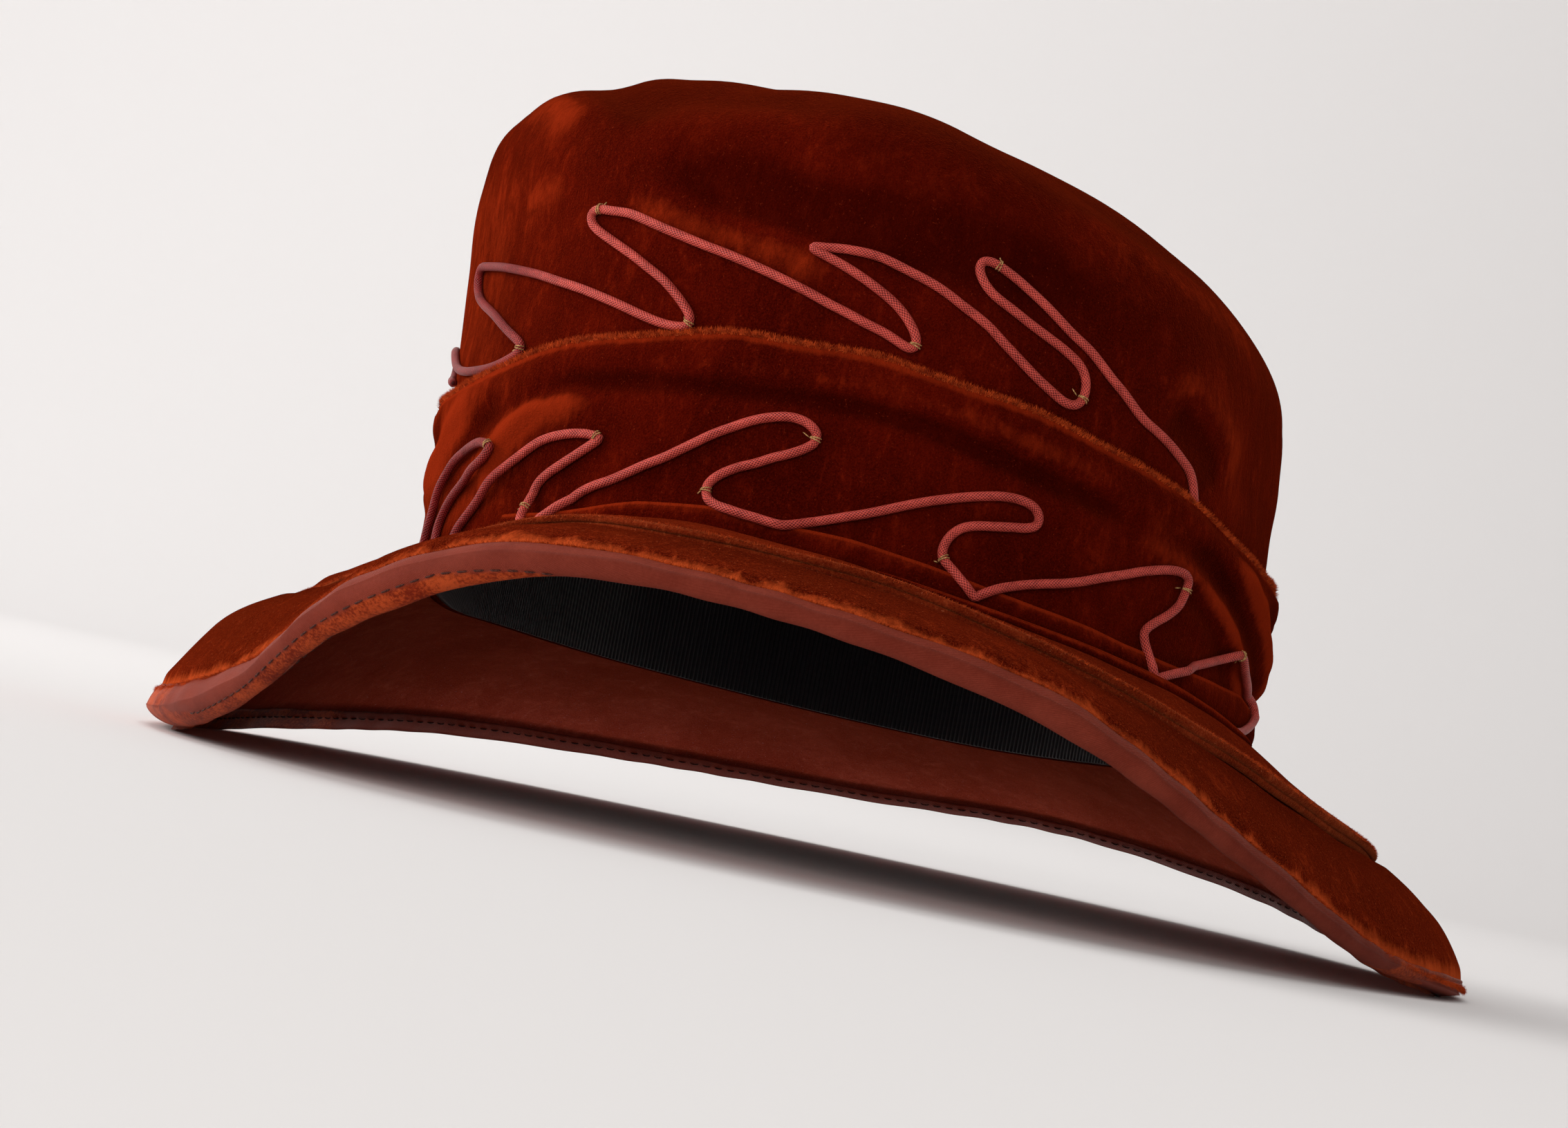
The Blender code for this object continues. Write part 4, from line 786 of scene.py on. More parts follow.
# The top edge is turned in: a half round from the outer face to the crown, then every third row back inside
roll_angle = np.radians(np.linspace(15, 165, ROLL_ROWS))[:, None]
edge_lift = outer_lift[-1]
half = (edge_lift - CLEARANCE) / 2
rolled = wall_point(band_azimuth, heights[-1] + half * np.sin(roll_angle) / CROWN_HEIGHT,
                    CLEARANCE + half + half * np.cos(roll_angle))
inner = wall_point(turns[::-3], heights[::-3], np.maximum(outer_lift[::-3] - BAND_WALL, CLEARANCE))
# Painted light: highlights on the crests and the turned top, painted shade in the grooves and at the foot, and painted
# light on the stretch at the wearer's right, which faces the window
band_painted_light = (folds(turns, heights, BAND_CREASES, CROWN_HEIGHT, 1.2) + 0.9 * smooth_step(0.955, 1.0, band_rows)
            - 0.35 * smooth_step(0.16, 0.0, band_rows)
            + 0.60 * smooth_step(-28, -55, turns) * smooth_step(-125, -95, turns))
band_piece = sew("draped_velvet", settle(np.concatenate([outer, rolled, inner])), [rust_velvet], (True, True),
                 around_scale=np.radians(360 / BAND_COLUMNS) * MEAN_RADIUS, up_scale=0.0006,
                 light_and_pile=np.concatenate([band_painted_light, np.full(rolled.shape[:2], 0.8), np.zeros(inner.shape[:2])]))
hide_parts("draped_band")

# The pleat
# A narrow fold of the same strip that lies over the band's foot at the front and the wearer's left.
# It has a soft turned top edge and is caught down by hand along its foot.
# azimuth, top edge as a share of the crown's height
PLEAT_EDGE = np.array((
    (-37, 0.030), (-30, 0.032), (-25, 0.040), (-18.7, 0.054), (-10.8, 0.060), (-2.5, 0.053), (5, 0.056), (13, 0.052),
    (17.6, 0.048), (25.8, 0.043), (33.2, 0.042), (37.8, 0.038), (44.2, 0.039), (49.3, 0.043), (56.8, 0.051),
    (66.3, 0.059), (84, 0.052)))
pleat_azimuth = np.linspace(PLEAT_FROM, PLEAT_TO, 160)
pleat_top = np.interp(pleat_azimuth, *PLEAT_EDGE.T)
pleat_foot = band_foot(pleat_azimuth)
pleat_rows = np.linspace(0, 1, 9)[:, None]
pleat_turn = np.radians(np.linspace(20, 160, 5))[:, None]
pleat_lifts = pleat_lift(pleat_azimuth) + 0.0002 * np.sin(np.radians(pleat_azimuth) * 29)
pleat_half = BAND_WALL / 2
pleat_outer = wall_point(pleat_azimuth, pleat_foot + (pleat_top - pleat_foot) * pleat_rows,
                         pleat_lifts + 0.0004 * np.sin(np.pi * pleat_rows))
pleat_roll = wall_point(pleat_azimuth, pleat_top + pleat_half * np.sin(pleat_turn) / CROWN_HEIGHT,
                        pleat_lifts - pleat_half + pleat_half * np.cos(pleat_turn))
pleat_inner = wall_point(pleat_azimuth, pleat_foot + (pleat_top - pleat_foot) * pleat_rows[::-1],
                         pleat_lifts - BAND_WALL)
pleat_grid = np.concatenate([pleat_outer, pleat_roll, pleat_inner]).transpose(1, 0, 2)[::-1]
# Painted light: shade at the pleat's foot growing lighter up its face, and a painted highlight on its turned top
pleat_painted_light = np.concatenate([np.linspace(-0.5, 0.45, 9), np.full(5, 0.9), np.zeros(9)])
pleat_piece = sew("foot_pleat", settle(pleat_grid), [rust_velvet], (False, True), around_scale=0.001, up_scale=0.0026,
                  ends="tube", light_and_pile=pleat_painted_light)
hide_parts("band_pleat")

# The two narrower pleats
# Folds of the same strip that lie below it along the root of the brim's upper fold, and sink into it at their ends.
# Each is a soft round of velvet that thins to nothing both ways.
# azimuth, how far out from the fold's root as a share of the brim's width
ROOT_FOLDS = (((8, -0.012), (16, 0.002), (28, 0.012), (42, 0.018), (56, 0.012), (70, -0.012)),
              ((12, 0.006), (22, 0.036), (34, 0.048), (46, 0.044), (58, 0.024), (66, -0.006)))
ROOT_STEPS = 110
roll_turn = np.linspace(0, 2 * np.pi, 14, endpoint=False)
roll_radius = 0.0011 * np.sqrt(np.sin(np.pi * np.linspace(0.012, 0.988, ROOT_STEPS)))[:, None]
for number, line in enumerate(ROOT_FOLDS):
    roll_azimuth = np.linspace(line[0][0], line[-1][0], ROOT_STEPS)[:, None]
    roll_share = fold_root(roll_azimuth) + np.interp(roll_azimuth, *np.array(line).T)
    roll_lift = fold_top(roll_azimuth, roll_share) + 0.0002 + 0.9 * roll_radius * (0.3 + np.sin(roll_turn))
    roll_grid = brim_point(roll_azimuth, roll_share, roll_lift, 1.15 * roll_radius * np.cos(roll_turn))
    # Painted highlight along the top of each roll and painted shade under it
    roll_piece = sew("root_fold_%d" % (number + 1), settle(roll_grid)[::-1], [rust_velvet], (False, True),
                     around_scale=0.0005, up_scale=0.001, ends="tube", light_and_pile=0.75 * np.sin(roll_turn) - 0.1)

# The cords
# Satin rat-tail cord, 2 mm round, couched in leaning loops over the crown and the band.
# Every loop is held by a thread tack at its bend, and the ends go down through the cloth.
CORD_DIAMETER, CORD_STEP, CORD_SIDES = 0.0020, 0.0006, 14
CROWN_MIDDLE = settle(np.array([0.0, 0.0, 0.04]))
# azimuth, climb on the crown or height share of the wall
CROWN_CORD_FRONT = (
    (47.6, 0.190), (46.8, 0.208), (46.0, 0.224), (45.0, 0.236), (43.6, 0.242), (41.1, 0.252), (38.4, 0.260),
    (35.9, 0.266), (34.2, 0.274), (32.3, 0.287), (30.5, 0.297), (28.7, 0.310), (27.0, 0.322), (25.0, 0.331),
    (23.1, 0.342), (21.1, 0.355), (19.0, 0.367), (17.0, 0.378), (15.3, 0.385), (14.2, 0.388), (13.6, 0.389),
    (13.0, 0.386), (12.6, 0.378), (12.8, 0.369), (13.4, 0.357), (14.4, 0.346), (15.8, 0.339), (17.6, 0.332),
    (19.3, 0.325), (21.1, 0.319), (23.0, 0.313), (24.6, 0.307), (26.0, 0.300), (27.0, 0.290), (27.3, 0.277),
    (27.3, 0.264), (27.0, 0.254), (26.2, 0.250), (24.9, 0.250), (23.5, 0.256), (22.0, 0.262), (20.6, 0.269),
    (19.2, 0.277), (17.8, 0.285), (16.4, 0.293), (15.1, 0.302), (13.3, 0.310), (11.6, 0.317), (9.7, 0.326),
    (7.9, 0.333), (6.0, 0.338), (3.9, 0.344), (1.8, 0.349), (-0.2, 0.349), (-2.2, 0.348), (-3.6, 0.345),
    (-5.0, 0.344), (-5.7, 0.343), (-4.6, 0.338), (-3.2, 0.333), (-1.3, 0.326), (0.6, 0.318), (2.2, 0.310),
    (3.9, 0.301), (5.3, 0.292), (6.5, 0.280), (7.3, 0.270), (7.8, 0.260), (7.7, 0.252), (6.8, 0.252), (5.1, 0.259),
    (3.5, 0.264), (1.7, 0.268), (-0.1, 0.274), (-2.3, 0.280), (-4.5, 0.288), (-6.3, 0.294), (-9.3, 0.304),
    (-11.5, 0.311), (-14.3, 0.320), (-17.1, 0.328), (-20.1, 0.338), (-23.2, 0.349), (-25.8, 0.359), (-27.8, 0.365),
    (-29.9, 0.367), (-31.2, 0.369), (-32.3, 0.370), (-33.1, 0.368), (-33.5, 0.362), (-33.1, 0.353), (-32.0, 0.344),
    (-30.0, 0.333), (-27.7, 0.321), (-25.5, 0.309), (-23.4, 0.296), (-21.7, 0.286), (-20.1, 0.273), (-18.7, 0.260),
    (-17.6, 0.248), (-17.0, 0.238), (-17.3, 0.233), (-18.7, 0.232), (-20.5, 0.234), (-22.3, 0.239), (-24.2, 0.245),
    (-26.5, 0.253), (-29.4, 0.262), (-32.9, 0.272), (-36.7, 0.281), (-41.2, 0.292), (-45.8, 0.301), (-51.4, 0.311),
    (-57.0, 0.319), (-60.2, 0.322), (-61.0, 0.315), (-60.8, 0.300), (-59.5, 0.286), (-56.7, 0.272), (-50.6, 0.250),
    (-46.4, 0.230), (-43.1, 0.214), (-41.9, 0.206), (-42.9, 0.199), (-45.6, 0.192), (-49.2, 0.188), (-53.8, 0.189),
    (-59.0, 0.194), (-64.0, 0.203), (-69.0, 0.217), (-74.0, 0.236), (-79.0, 0.246), (-82.5, 0.236), (-80.0, 0.216),
    (-74.0, 0.203), (-68.0, 0.192))
CROWN_CORD_BACK = (
    (106.0, 0.216), (104.0, 0.224), (105.5, 0.250), (110.5, 0.300), (117.0, 0.360), (123.0, 0.405), (127.5, 0.400),
    (127.0, 0.375), (121.0, 0.320), (117.5, 0.262), (120.5, 0.232), (127.0, 0.232), (135.0, 0.262), (145.0, 0.305),
    (154.0, 0.345), (159.5, 0.345), (160.0, 0.325), (154.0, 0.285), (151.0, 0.245), (155.0, 0.229), (163.0, 0.240),
    (172.0, 0.280), (182.0, 0.320), (190.0, 0.338), (193.5, 0.325), (189.0, 0.290), (185.0, 0.250), (188.0, 0.229),
    (196.0, 0.240), (206.0, 0.275), (216.0, 0.315), (223.0, 0.330), (226.0, 0.317), (222.0, 0.280), (219.0, 0.240),
    (222.0, 0.218), (230.0, 0.222), (239.0, 0.246), (246.0, 0.262), (249.0, 0.250), (247.0, 0.224), (248.0, 0.200))
BAND_CORD_FRONT = (
    (-64.0, 0.000), (-61.5, 0.018), (-60.0, 0.045), (-58.6, 0.068), (-56.8, 0.094), (-54.6, 0.117), (-52.0, 0.140),
    (-47.9, 0.153), (-43.9, 0.155), (-41.5, 0.149), (-41.1, 0.141), (-42.6, 0.121), (-46.2, 0.104), (-49.2, 0.089),
    (-51.8, 0.074), (-53.6, 0.056), (-54.6, 0.036), (-54.4, 0.012), (-52.8, -0.006), (-50.6, -0.006), (-48.6, 0.011),
    (-47.3, 0.028), (-45.2, 0.046), (-42.8, 0.068), (-40.9, 0.092), (-38.8, 0.113), (-36.1, 0.137), (-33.4, 0.157),
    (-30.4, 0.168), (-27.7, 0.171), (-25.8, 0.168), (-25.1, 0.163), (-26.2, 0.150), (-27.9, 0.134), (-29.8, 0.118),
    (-31.6, 0.103), (-32.8, 0.089), (-33.4, 0.072), (-33.5, 0.054), (-33.5, 0.034), (-32.8, 0.016), (-31.2, 0.014),
    (-29.9, 0.030), (-28.9, 0.046), (-27.8, 0.059), (-26.4, 0.073), (-24.7, 0.084), (-22.7, 0.094), (-20.6, 0.109),
    (-18.8, 0.123), (-16.8, 0.138), (-15.2, 0.154), (-13.5, 0.172), (-11.7, 0.191), (-9.8, 0.208), (-7.9, 0.224),
    (-6.1, 0.235), (-4.2, 0.242), (-2.7, 0.241), (-1.6, 0.234), (-0.9, 0.223), (-0.9, 0.212), (-1.1, 0.203),
    (-2.1, 0.190), (-3.4, 0.178), (-5.0, 0.166), (-6.6, 0.152), (-8.5, 0.139), (-10.1, 0.124), (-11.1, 0.109),
    (-11.4, 0.095), (-11.0, 0.080), (-9.9, 0.070), (-8.6, 0.065), (-7.0, 0.061), (-5.5, 0.059), (-4.2, 0.057),
    (-2.7, 0.056), (-1.5, 0.062), (0.3, 0.075), (2.2, 0.087), (3.9, 0.098), (5.6, 0.109), (7.6, 0.124), (9.6, 0.140),
    (11.5, 0.155), (13.5, 0.169), (15.5, 0.182), (17.6, 0.194), (19.7, 0.204), (21.5, 0.208), (23.0, 0.206),
    (23.9, 0.197), (24.2, 0.185), (23.9, 0.173), (22.9, 0.165), (21.2, 0.158), (19.3, 0.150), (17.4, 0.142),
    (16.0, 0.132), (15.0, 0.116), (14.5, 0.100), (14.4, 0.085), (14.7, 0.074), (15.5, 0.064), (16.3, 0.054),
    (17.1, 0.044), (17.9, 0.035), (18.4, 0.031), (18.9, 0.037), (20.2, 0.050), (21.7, 0.062), (23.9, 0.076),
    (26.2, 0.088), (28.5, 0.099), (30.9, 0.113), (33.3, 0.130), (36.1, 0.148), (38.7, 0.166), (41.5, 0.182),
    (43.6, 0.191), (45.4, 0.193), (46.3, 0.186), (46.4, 0.172), (46.2, 0.154), (45.6, 0.137), (44.1, 0.115),
    (42.4, 0.096), (41.3, 0.080), (41.1, 0.062), (41.6, 0.042), (42.1, 0.026), (42.9, 0.014), (43.9, 0.020),
    (46.4, 0.035), (50.6, 0.058), (54.2, 0.077), (58.2, 0.098), (61.0, 0.115), (62.3, 0.116), (63.8, 0.107),
    (66.6, 0.094), (70.4, 0.082), (73.6, 0.070), (74.4, 0.056), (72.6, 0.038), (69.4, 0.022), (65.9, 0.010),
    (61.8, 0.004))
BAND_CORD_BACK = (
    (104.0, 0.000), (104.5, 0.030), (109.0, 0.048), (117.0, 0.110), (126.0, 0.175), (133.0, 0.200), (137.0, 0.180),
    (134.0, 0.120), (132.0, 0.065), (137.0, 0.035), (144.0, 0.060), (152.0, 0.125), (161.0, 0.190), (169.0, 0.210),
    (173.0, 0.185), (169.0, 0.120), (167.0, 0.065), (172.0, 0.038), (179.0, 0.065), (188.0, 0.130), (197.0, 0.190),
    (205.0, 0.205), (209.0, 0.180), (205.0, 0.120), (203.0, 0.060), (208.0, 0.035), (215.0, 0.060), (223.0, 0.120),
    (231.0, 0.165), (238.0, 0.175), (241.0, 0.155), (239.0, 0.100), (238.5, 0.050), (240.0, 0.010))


def fine_route(route):
    """Cubics through the route's points, read again at even steps, one degree counting 1.7 mm and one share 130."""
    route = np.array(route, float)
    padded = np.vstack([2 * route[0] - route[1], route, 2 * route[-1] - route[-2]])
    share = np.linspace(0, 1, 12, endpoint=False)[:, None]
    parts = [hermite(b, c, (c - a) / 2, (d - b) / 2, share)
             for a, b, c, d in zip(padded, padded[1:], padded[2:], padded[3:])]
    dense = np.vstack(parts + [route[-1:]])
    run = np.concatenate([[0], np.cumsum(np.hypot(*(np.diff(dense, axis=0) * (0.0017, 0.13)).T))])
    even = np.linspace(0, run[-1], int(run[-1] / CORD_STEP))
    return np.interp(even, run, dense[:, 0]), np.interp(even, run, dense[:, 1])


def soften(values, reach):
    """A moving average, so that the cord bridges small hollows."""
    wide = np.pad(values, reach, mode="edge")
    return np.convolve(wide, np.ones(2 * reach + 1) / (2 * reach + 1), "valid")


def crown_cord(route):
    """Over the crown's cloth, the cord's middle a radius off it, pressed a little into the pile."""
    azimuth, climb = fine_route(route)
    base = crown_point(azimuth, climb, CORD_DIAMETER / 2 - 0.0001)
    return settle(np.stack([soften(part, 3) for part in base.T], -1))


def band_cord(route):
    """Over the band and its pleat. Its lowest bends go down between the band and the brim's upper fold."""
    azimuth, height = fine_route(route)
    lift = np.max([band_lift(azimuth + turn, height + rise) for turn in (-1, 0, 1) for rise in (-0.012, 0, 0.012)],
                  axis=0)
    top_of_pleat = np.interp(azimuth, *PLEAT_EDGE.T)
    on_pleat = (azimuth > PLEAT_FROM - 2) & (azimuth < PLEAT_TO + 2) & (height < top_of_pleat + 0.012)
    lift = np.where(on_pleat, np.maximum(lift, pleat_lift(azimuth) + 0.0004), lift)
    lift = soften(lift, 5) + CORD_DIAMETER / 2 - 0.0001
    out, down, slope = brim_section(azimuth, lift / BRIM_WIDTH / 0.85)
    above = (BRIM_TOP + CLEARANCE) / np.cos(slope)
    lowest = (above + seam_drop(azimuth) - down) / (CROWN_HEIGHT + SEAM_EASE * seam_drop(azimuth))
    return settle(wall_point(azimuth, np.maximum(height, lowest), lift))


def lay_cord(name, path, node):
    """A round of fourteen sides along the path, set square to it and to the line out from inside the crown.

    The UV map counts sides round and metres along. The point attribute is 1 at the hat's front and less towards
    its back and at the wearer's right, where the cord's colour gets painted shade."""
    ahead = np.gradient(path, axis=0)
    ahead /= np.linalg.norm(ahead, axis=1, keepdims=True)
    out = path - CROWN_MIDDLE
    first = out - (out * ahead).sum(1, keepdims=True) * ahead
    first /= np.linalg.norm(first, axis=1, keepdims=True)
    second = np.cross(ahead, first)
    angle = np.linspace(0, 2 * np.pi, CORD_SIDES, endpoint=False)
    ends = np.clip(np.minimum(np.arange(len(path)), np.arange(len(path))[::-1]) / 3, 0, 1)
    radius = 0.94 * CORD_DIAMETER / 2 * np.sqrt(0.25 + 0.75 * ends * (2 - ends))
    ring = first[:, None] * 0.96 * np.cos(angle)[None, :, None] + second[:, None] * 1.03 * np.sin(angle)[None, :, None]
    unshaded_share = (0.45 + 0.55 * smooth_step(0.060, 0.010, path[:, 1])) * smooth_step(-0.080, -0.062, path[:, 0])
    piece = sew(name, path[:, None] + ring * radius[:, None, None], [cord_satin], (False, True),
                around_scale=1 / CORD_SIDES, up_scale=CORD_STEP, ends="tube", light_and_pile=unshaded_share[:, None])
    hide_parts(node)


def cord_weave():
    """Rat-tail satin: slanting ribs crossed both ways on the cord's UV map, a bright face and a soft gloss."""
    cloth = Finish("cord_satin", {"Roughness": 0.42, "Specular IOR Level": 0.16, "Sheen Weight": 0.05,
                                  "Sheen Roughness": 0.3, "Sheen Tint": (1.0, 0.35, 0.28, 1.0)})
    where = cloth.node("TexCoord", {}, {}, "UV")
    split = cloth.node("SeparateXYZ", {}, {"Vector": where}, "X")
    along = Reading(cloth, split.socket.node.outputs["Y"])
    slant, cross = (turned.maths("PINGPONG", turned.maths("FRACT", turned), 0.5)
                    for turned in (along * 1500.0 + split * 9.0, along * 1500.0 - split * 9.0))
    ribs = slant + cross
    wear = cloth.noise(cloth.place(), 130.0, 3.0, 0.6)
    strands = cloth.noise(cloth.place((9.0, 500.0, 1.0), (0.0, 0.0, 0.5), "UV"), 1.0, 2.0, 0.7)
    colour = cloth.mix(cloth.between(ribs * 0.75 + wear * 0.40 + strands * 0.45, 0.52, 1.02),
                       (0.120, 0.0065, 0.0050, 1.0), (0.660, 0.088, 0.064, 1.0))
    # Painted shade: the cord's colour darkens where the point attribute falls below 1, towards the back and the
    # wearer's right
    unshaded_share = cloth.node("Attribute", {"attribute_name": "light_and_pile"}, {}, "Fac")
    painted_shade_colour = cloth.node("Mix", {"data_type": "RGBA", "blend_type": "MULTIPLY"},
                        {0: 1.0, 6: colour, 7: (0.46, 0.22, 0.27, 1.0)}, 2)
    colour = cloth.mix(unshaded_share, painted_shade_colour, colour)
    cloth.feed(cloth.shader.inputs["Base Color"], colour)
    cloth.bump(ribs * 0.8 + strands * 0.5, 0.00022)
    return cloth.material


cord_satin = cord_weave()
crown_front_path, crown_back_path = crown_cord(CROWN_CORD_FRONT), crown_cord(CROWN_CORD_BACK)
band_front_path, band_back_path = band_cord(BAND_CORD_FRONT), band_cord(BAND_CORD_BACK)
lay_cord("crown_cord_front", crown_front_path, "crown_cord")
lay_cord("crown_cord_rear", crown_back_path, "crown_cord_back")
lay_cord("band_cord_front", band_front_path, "band_cord")
lay_cord("band_cord_rear", band_back_path, "band_cord_back")

# The tacks
# Gold sewing thread, passed by hand through the velvet, holds every cord loop down at its bend.
# Each tack is two strands over the cord and a short tail beside it.
CROWN_TACKS = ((-42.0, 0.207), (-17.2, 0.235), (8.0, 0.256), (27.5, 0.260), (14.8, 0.387), (-31.9, 0.370),
               (-81, 0.247), (125, 0.404), (118, 0.250), (158, 0.347), (152.5, 0.236),
               (192, 0.336), (186, 0.238), (225, 0.326), (220, 0.226), (248, 0.256))
BAND_TACKS = ((-41.2, 0.148), (-25.4, 0.164), (-33.4, 0.045), (-0.9, 0.215), (-11.4, 0.095), (14.6, 0.076),
              (46.4, 0.171), (61.6, 0.117), (132, 0.200), (132.5, 0.068), (169, 0.210), (167.5, 0.066), (204, 0.205),
              (203.5, 0.062), (238, 0.175))


def tack_paths(marks, spot, cord_path):
    """At the cord point nearest each mark, two arcs over the cord and one straight tail beside it."""
    paths = []
    for i, mark in enumerate(marks):
        near = np.argmin(np.linalg.norm(cord_path - spot(mark), axis=1))
        near = int(np.clip(near, 3, len(cord_path) - 4))
        at, ahead = cord_path[near], cord_path[near + 2] - cord_path[near - 2]
        ahead /= np.linalg.norm(ahead)
        out = at - CROWN_MIDDLE
        out -= (out @ ahead) * ahead
        out /= np.linalg.norm(out)
        side = np.cross(ahead, out)
        bow = np.radians(np.linspace(-100, 100, 9))[:, None]
        for shift, slant in ((-0.00022, 0.1), (0.00022, -0.15)):
            paths.append(at + (CORD_DIAMETER / 2 + 0.00012) * (np.cos(bow) * out + np.sin(bow) * side)
                         + ahead * (shift + slant * 0.001 * np.sin(bow)))
        tail = np.linspace(0, 1, 5)[:, None]
        reach = 0.0006 if i % 3 else 0.0016
        paths.append(at - (CORD_DIAMETER / 2 - 0.0002) * out * (1 - 0.15 * tail) + side * (0.0013 + reach * tail)
                     + ahead * 0.0006 * tail * (-1) ** i + out * 0.0004)
    return paths


tack_thread = thread("tack_thread", (0.250, 0.120, 0.040, 1.0), (0.560, 0.330, 0.130, 1.0))
tacks = tack_paths(CROWN_TACKS, lambda mark: settle(crown_point(mark[0], mark[1], 0.001)),
                   np.vstack([crown_front_path, crown_back_path]))
tacks += tack_paths(BAND_TACKS, lambda mark: settle(wall_point(mark[0], mark[1], 0.004)),
                    np.vstack([band_front_path, band_back_path]))
tack_piece = tubes("cord_tacks", tacks, 0.00014, tack_thread)

# The pile's edges
# Where the cloth turns over, its pile stands out as a bright fringe: along the band's top edge, the fold's
# rolled lips and the upper edge of the binding.


def fringe(name, roots, out, length, spread, width, finish, seed):
    """Tufts: slender three-sided spikes, closed below, rooted along a line and leaning out with a random spread."""
    rng = np.random.default_rng(seed)
    count = len(roots)
    away = out + rng.normal(scale=spread, size=(count, 3))
    away /= np.linalg.norm(away, axis=1, keepdims=True)
    side = np.cross(away, rng.normal(size=(count, 3)))
    side /= np.linalg.norm(side, axis=1, keepdims=True)
    other = np.cross(away, side)
    tall = length * rng.uniform(0.6, 1.25, count)[:, None]
    wide = width * rng.uniform(0.7, 1.2, count)[:, None]
    low = roots - 0.25 * tall * away
    base = [low + wide * (np.cos(a) * side + np.sin(a) * other) for a in np.radians((0, 120, 240))]
    points = np.stack(base + [roots + tall * away], 1).reshape(-1, 3)
    start = 4 * np.arange(count)[:, None, None]
    faces = (np.array(((0, 1, 3), (1, 2, 3), (2, 0, 3), (0, 2, 1)))[None] + start).reshape(-1, 3)
    mesh = bpy.data.meshes.new(name)
    mesh.from_pydata(points.tolist(), [], faces.tolist())
    mesh.materials.append(finish)
    return lay_out(name, mesh)


def along_edge(surface, count, seed):
    """Points and outward directions along an edge: a surface read at random places, and a little farther out."""
    rng = np.random.default_rng(seed)
    azimuth = rng.uniform(-180, 180, count)
    across = rng.uniform(-1, 1, count)
    base, tip = surface(azimuth, across, 0.0), surface(azimuth, across, 0.001)
    lean = settle(tip) - settle(base)
    return settle(base), lean / np.linalg.norm(lean, axis=1, keepdims=True)


def band_edge(azimuth, across, rise):
    """Over the band's rolled top: the lift swings across the roll, and rise goes up and slightly out."""
    half = (np.interp(azimuth, band_azimuth, edge_lift) - CLEARANCE) / 2
    angle = np.radians(70 + 60 * across)
    up = half * np.sin(angle) + rise * (0.4 + 0.6 * np.sin(angle))
    return wall_point(azimuth, band_top(azimuth) + up / CROWN_HEIGHT, CLEARANCE + half + (half + rise) * np.cos(angle))


def fold_edge(azimuth, across, rise):
    """Over the upper lip of the brim's fold, 0.6 mm to each side of its middle."""
    top = fold_bottom + 4 * LIP * around(EDGE_ROUND, 2, azimuth) - 0.0002
    return brim_point(azimuth, around(EDGE_ROUND, 1, azimuth), top + rise * 0.8, -0.0006 + 0.0006 * across + rise * 0.6)


def binding_edge(azimuth, across, rise):
    """Along the upper edge of the binding, up to 0.8 mm behind it, where the brim's pile meets the strip."""
    share = 1 - (around(EDGE_ROUND, 3, azimuth) + 0.0004 + 0.0004 * across) / BRIM_WIDTH
    return brim_point(azimuth, share, BRIM_TOP + 0.0007 + around(EDGE_ROUND, 4, azimuth) + rise, rise * 0.8)


tuft_velvet = Finish("tuft_pile", {"Roughness": 0.8, "Sheen Weight": 0.35, "Sheen Roughness": 0.4,
                                   "Sheen Tint": (1.0, 0.30, 0.10, 1.0), "Specular IOR Level": 0.05})
tuft_shade = tuft_velvet.noise(tuft_velvet.place(), 700.0, 2.0, 0.6)
tuft_velvet.feed(tuft_velvet.shader.inputs["Base Color"], tuft_velvet.mix(
    tuft_velvet.between(tuft_shade, 0.3, 0.7), (0.190, 0.014, 0.002, 1.0), (0.560, 0.074, 0.013, 1.0)))
band_fringe = fringe("band_edge_pile", *along_edge(band_edge, 24000, 21), 0.0012, 0.35, 0.00012,
                     tuft_velvet.material, 22)
fold_fringe = fringe("fold_edge_pile", *along_edge(fold_edge, 14000, 23), 0.0007, 0.35, 0.00009,
                     tuft_velvet.material, 24)
binding_fringe = fringe("binding_edge_pile", *along_edge(binding_edge, 24000, 25), 0.0014, 0.30, 0.00009,
                        tuft_velvet.material, 26)

# The studio
# A pale sweep of paper under four soft boxes: a window at the left, a weak one low in front, one overhead and one on
# the paper behind. The camera stands at the photograph's angle, just above the table.
SWEEP_FRONT, SWEEP_FOOT, SWEEP_BEND, SWEEP_TOP, SWEEP_HALF = -7.0, 1.6, 0.9, 4.5, 7.0
bend = np.radians(np.linspace(6, 90, 15))
sweep_depth = np.concatenate([np.linspace(SWEEP_FRONT, SWEEP_FOOT, 12), SWEEP_FOOT + SWEEP_BEND * np.sin(bend),
                              np.full(5, SWEEP_FOOT + SWEEP_BEND)])
sweep_height = np.concatenate([np.zeros(12), SWEEP_BEND - SWEEP_BEND * np.cos(bend), np.linspace(1.3, SWEEP_TOP, 5)])
sweep_grid = np.stack(np.broadcast_arrays(np.linspace(SWEEP_HALF, -SWEEP_HALF, 3), sweep_depth[:, None],
                                          sweep_height[:, None] - 0.00005), -1)
sweep_mesh = bpy.data.meshes.new("paper_sweep")
quads = [(i, i + 3, i + 4, i + 1) for r in range(len(sweep_depth) - 1) for i in (3 * r, 3 * r + 1)]
sweep_mesh.from_pydata(sweep_grid.reshape(-1, 3).tolist(), [], quads)
sweep_mesh.shade_smooth()
paper = Finish("pale_paper", {"Base Color": (0.805, 0.79, 0.785, 1.0), "Roughness": 0.95, "Specular IOR Level": 0.05})
sweep_mesh.materials.append(paper.material)
sweep = bpy.data.objects.new("paper_sweep", sweep_mesh)
bpy.context.scene.collection.objects.link(sweep)


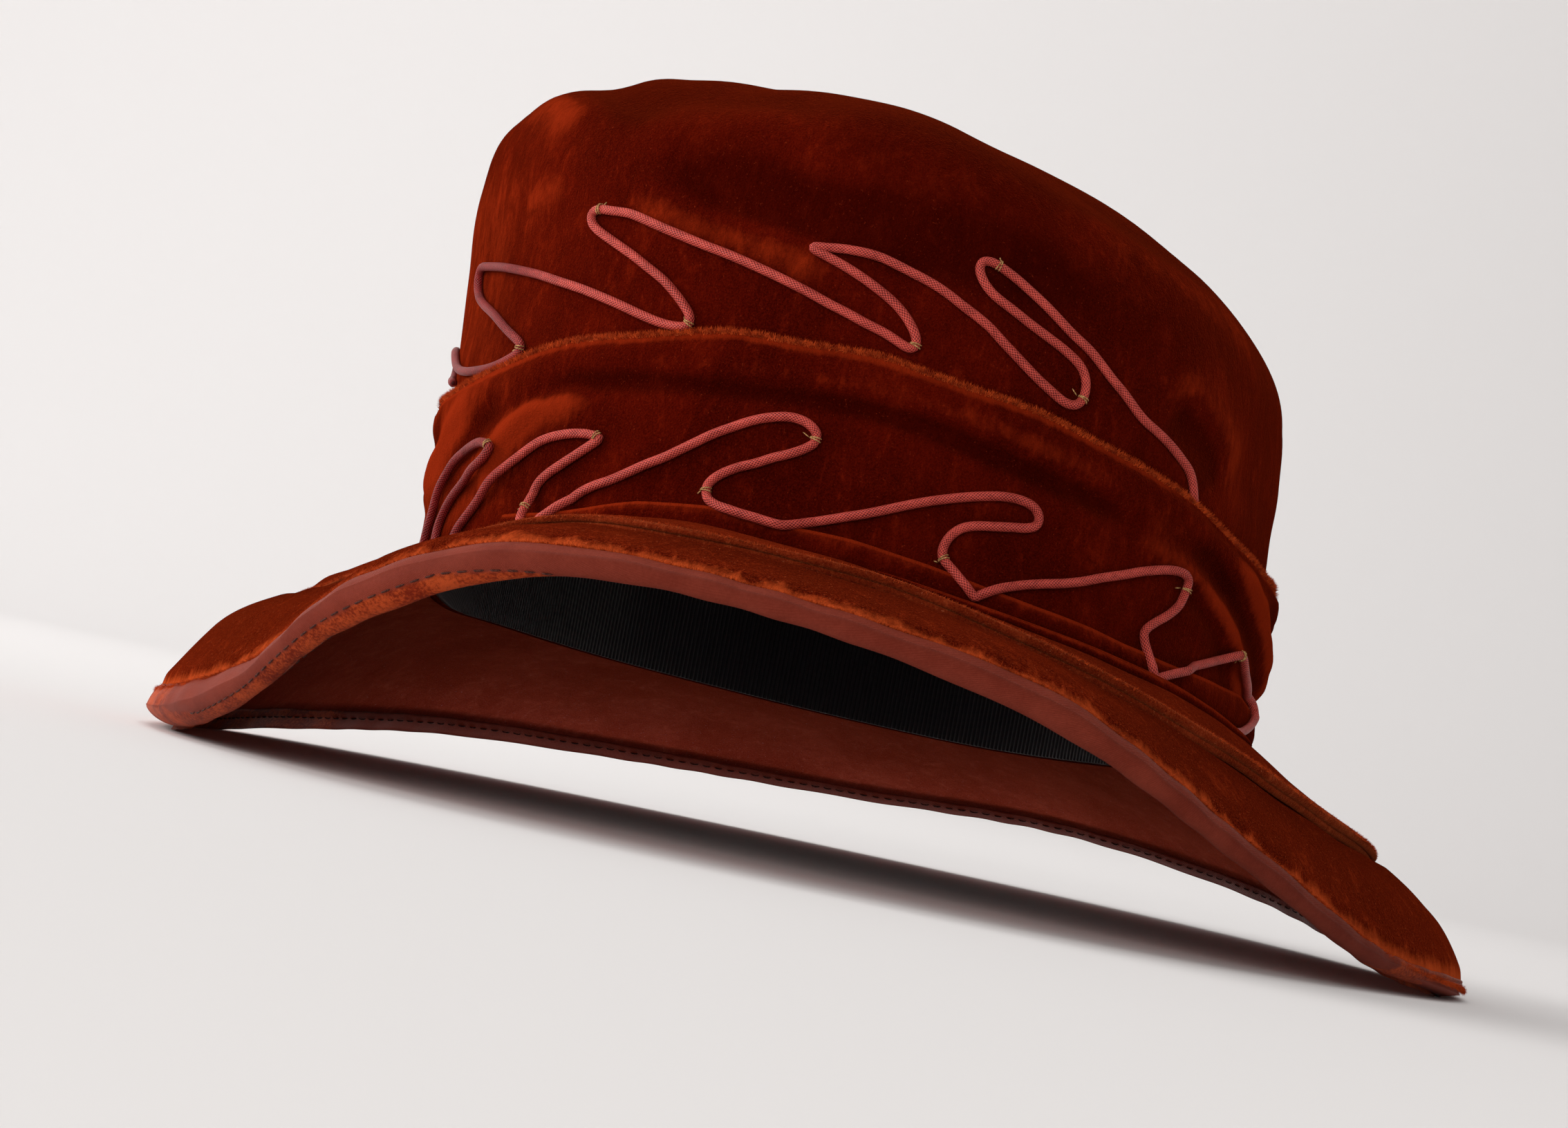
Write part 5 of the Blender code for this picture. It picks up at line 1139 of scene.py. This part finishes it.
def soft_light(name, place, aim, size, power, colour):
    """A square soft box at a place, turned to face its aim."""
    lamp = bpy.data.lights.new(name, "AREA")
    lamp.shape, lamp.size, lamp.energy, lamp.color = "SQUARE", size, power, colour
    box = bpy.data.objects.new(name, lamp)
    back = np.array(place, float) - aim
    back /= np.linalg.norm(back)
    side = np.cross((0.0, 0.0, 1.0), back)
    side /= np.linalg.norm(side)
    facing = np.eye(4)
    facing[:3, 0], facing[:3, 1], facing[:3, 2], facing[:3, 3] = side, np.cross(back, side), back, place
    box.matrix_world = Matrix(facing.tolist())
    bpy.context.scene.collection.objects.link(box)


soft_light("window", (-2.0, -0.22, 0.62), (0.0, 0.0, 0.07), 1.8, 46.0, (1.0, 0.985, 0.97))
soft_light("low_fill", (-0.15, -1.7, 0.30), (0.0, 0.0, 0.03), 1.2, 15.0, (1.0, 0.97, 0.95))
soft_light("overhead", (-0.2, 0.5, 2.1), (-0.1, 0.3, 0.0), 2.2, 15.5, (1.0, 0.985, 0.97))
soft_light("wall_wash", (-1.3, 0.9, 2.0), (-0.7, 2.2, 0.5), 1.4, 17.0, (1.0, 0.98, 0.98))
room = bpy.data.worlds.new("room")
bpy.context.scene.world = room
room.use_nodes = True
room.node_tree.nodes["Background"].inputs["Color"].default_value = (1.0, 0.965, 0.95, 1.0)
room.node_tree.nodes["Background"].inputs["Strength"].default_value = 0.26
bpy.context.scene.view_settings.view_transform = "Standard"

azimuth, elevation, roll, distance = np.radians(5.920), np.radians(-2.379), np.radians(11.887), 0.900
target = np.array([-0.01712, 0.00702, 0.06337])
level = np.array([np.cos(azimuth), np.sin(azimuth), 0.0])
ahead = np.array([-np.sin(azimuth) * np.cos(elevation), np.cos(azimuth) * np.cos(elevation), -np.sin(elevation)])
upright = np.cross(level, ahead)
right = level * np.cos(roll) + upright * np.sin(roll)
facing = np.eye(4)
facing[:3, 0], facing[:3, 1], facing[:3, 2] = right, upright * np.cos(roll) - level * np.sin(roll), -ahead
facing[:3, 3] = target - distance * ahead
lens = bpy.data.cameras.new("camera")
lens.lens, lens.sensor_width, lens.clip_start = 92.33, 36.0, 0.02
camera = bpy.data.objects.new("camera", lens)
camera.matrix_world = Matrix(facing.tolist())
bpy.context.scene.collection.objects.link(camera)
bpy.context.scene.camera = camera

bpy.context.view_layer.update()
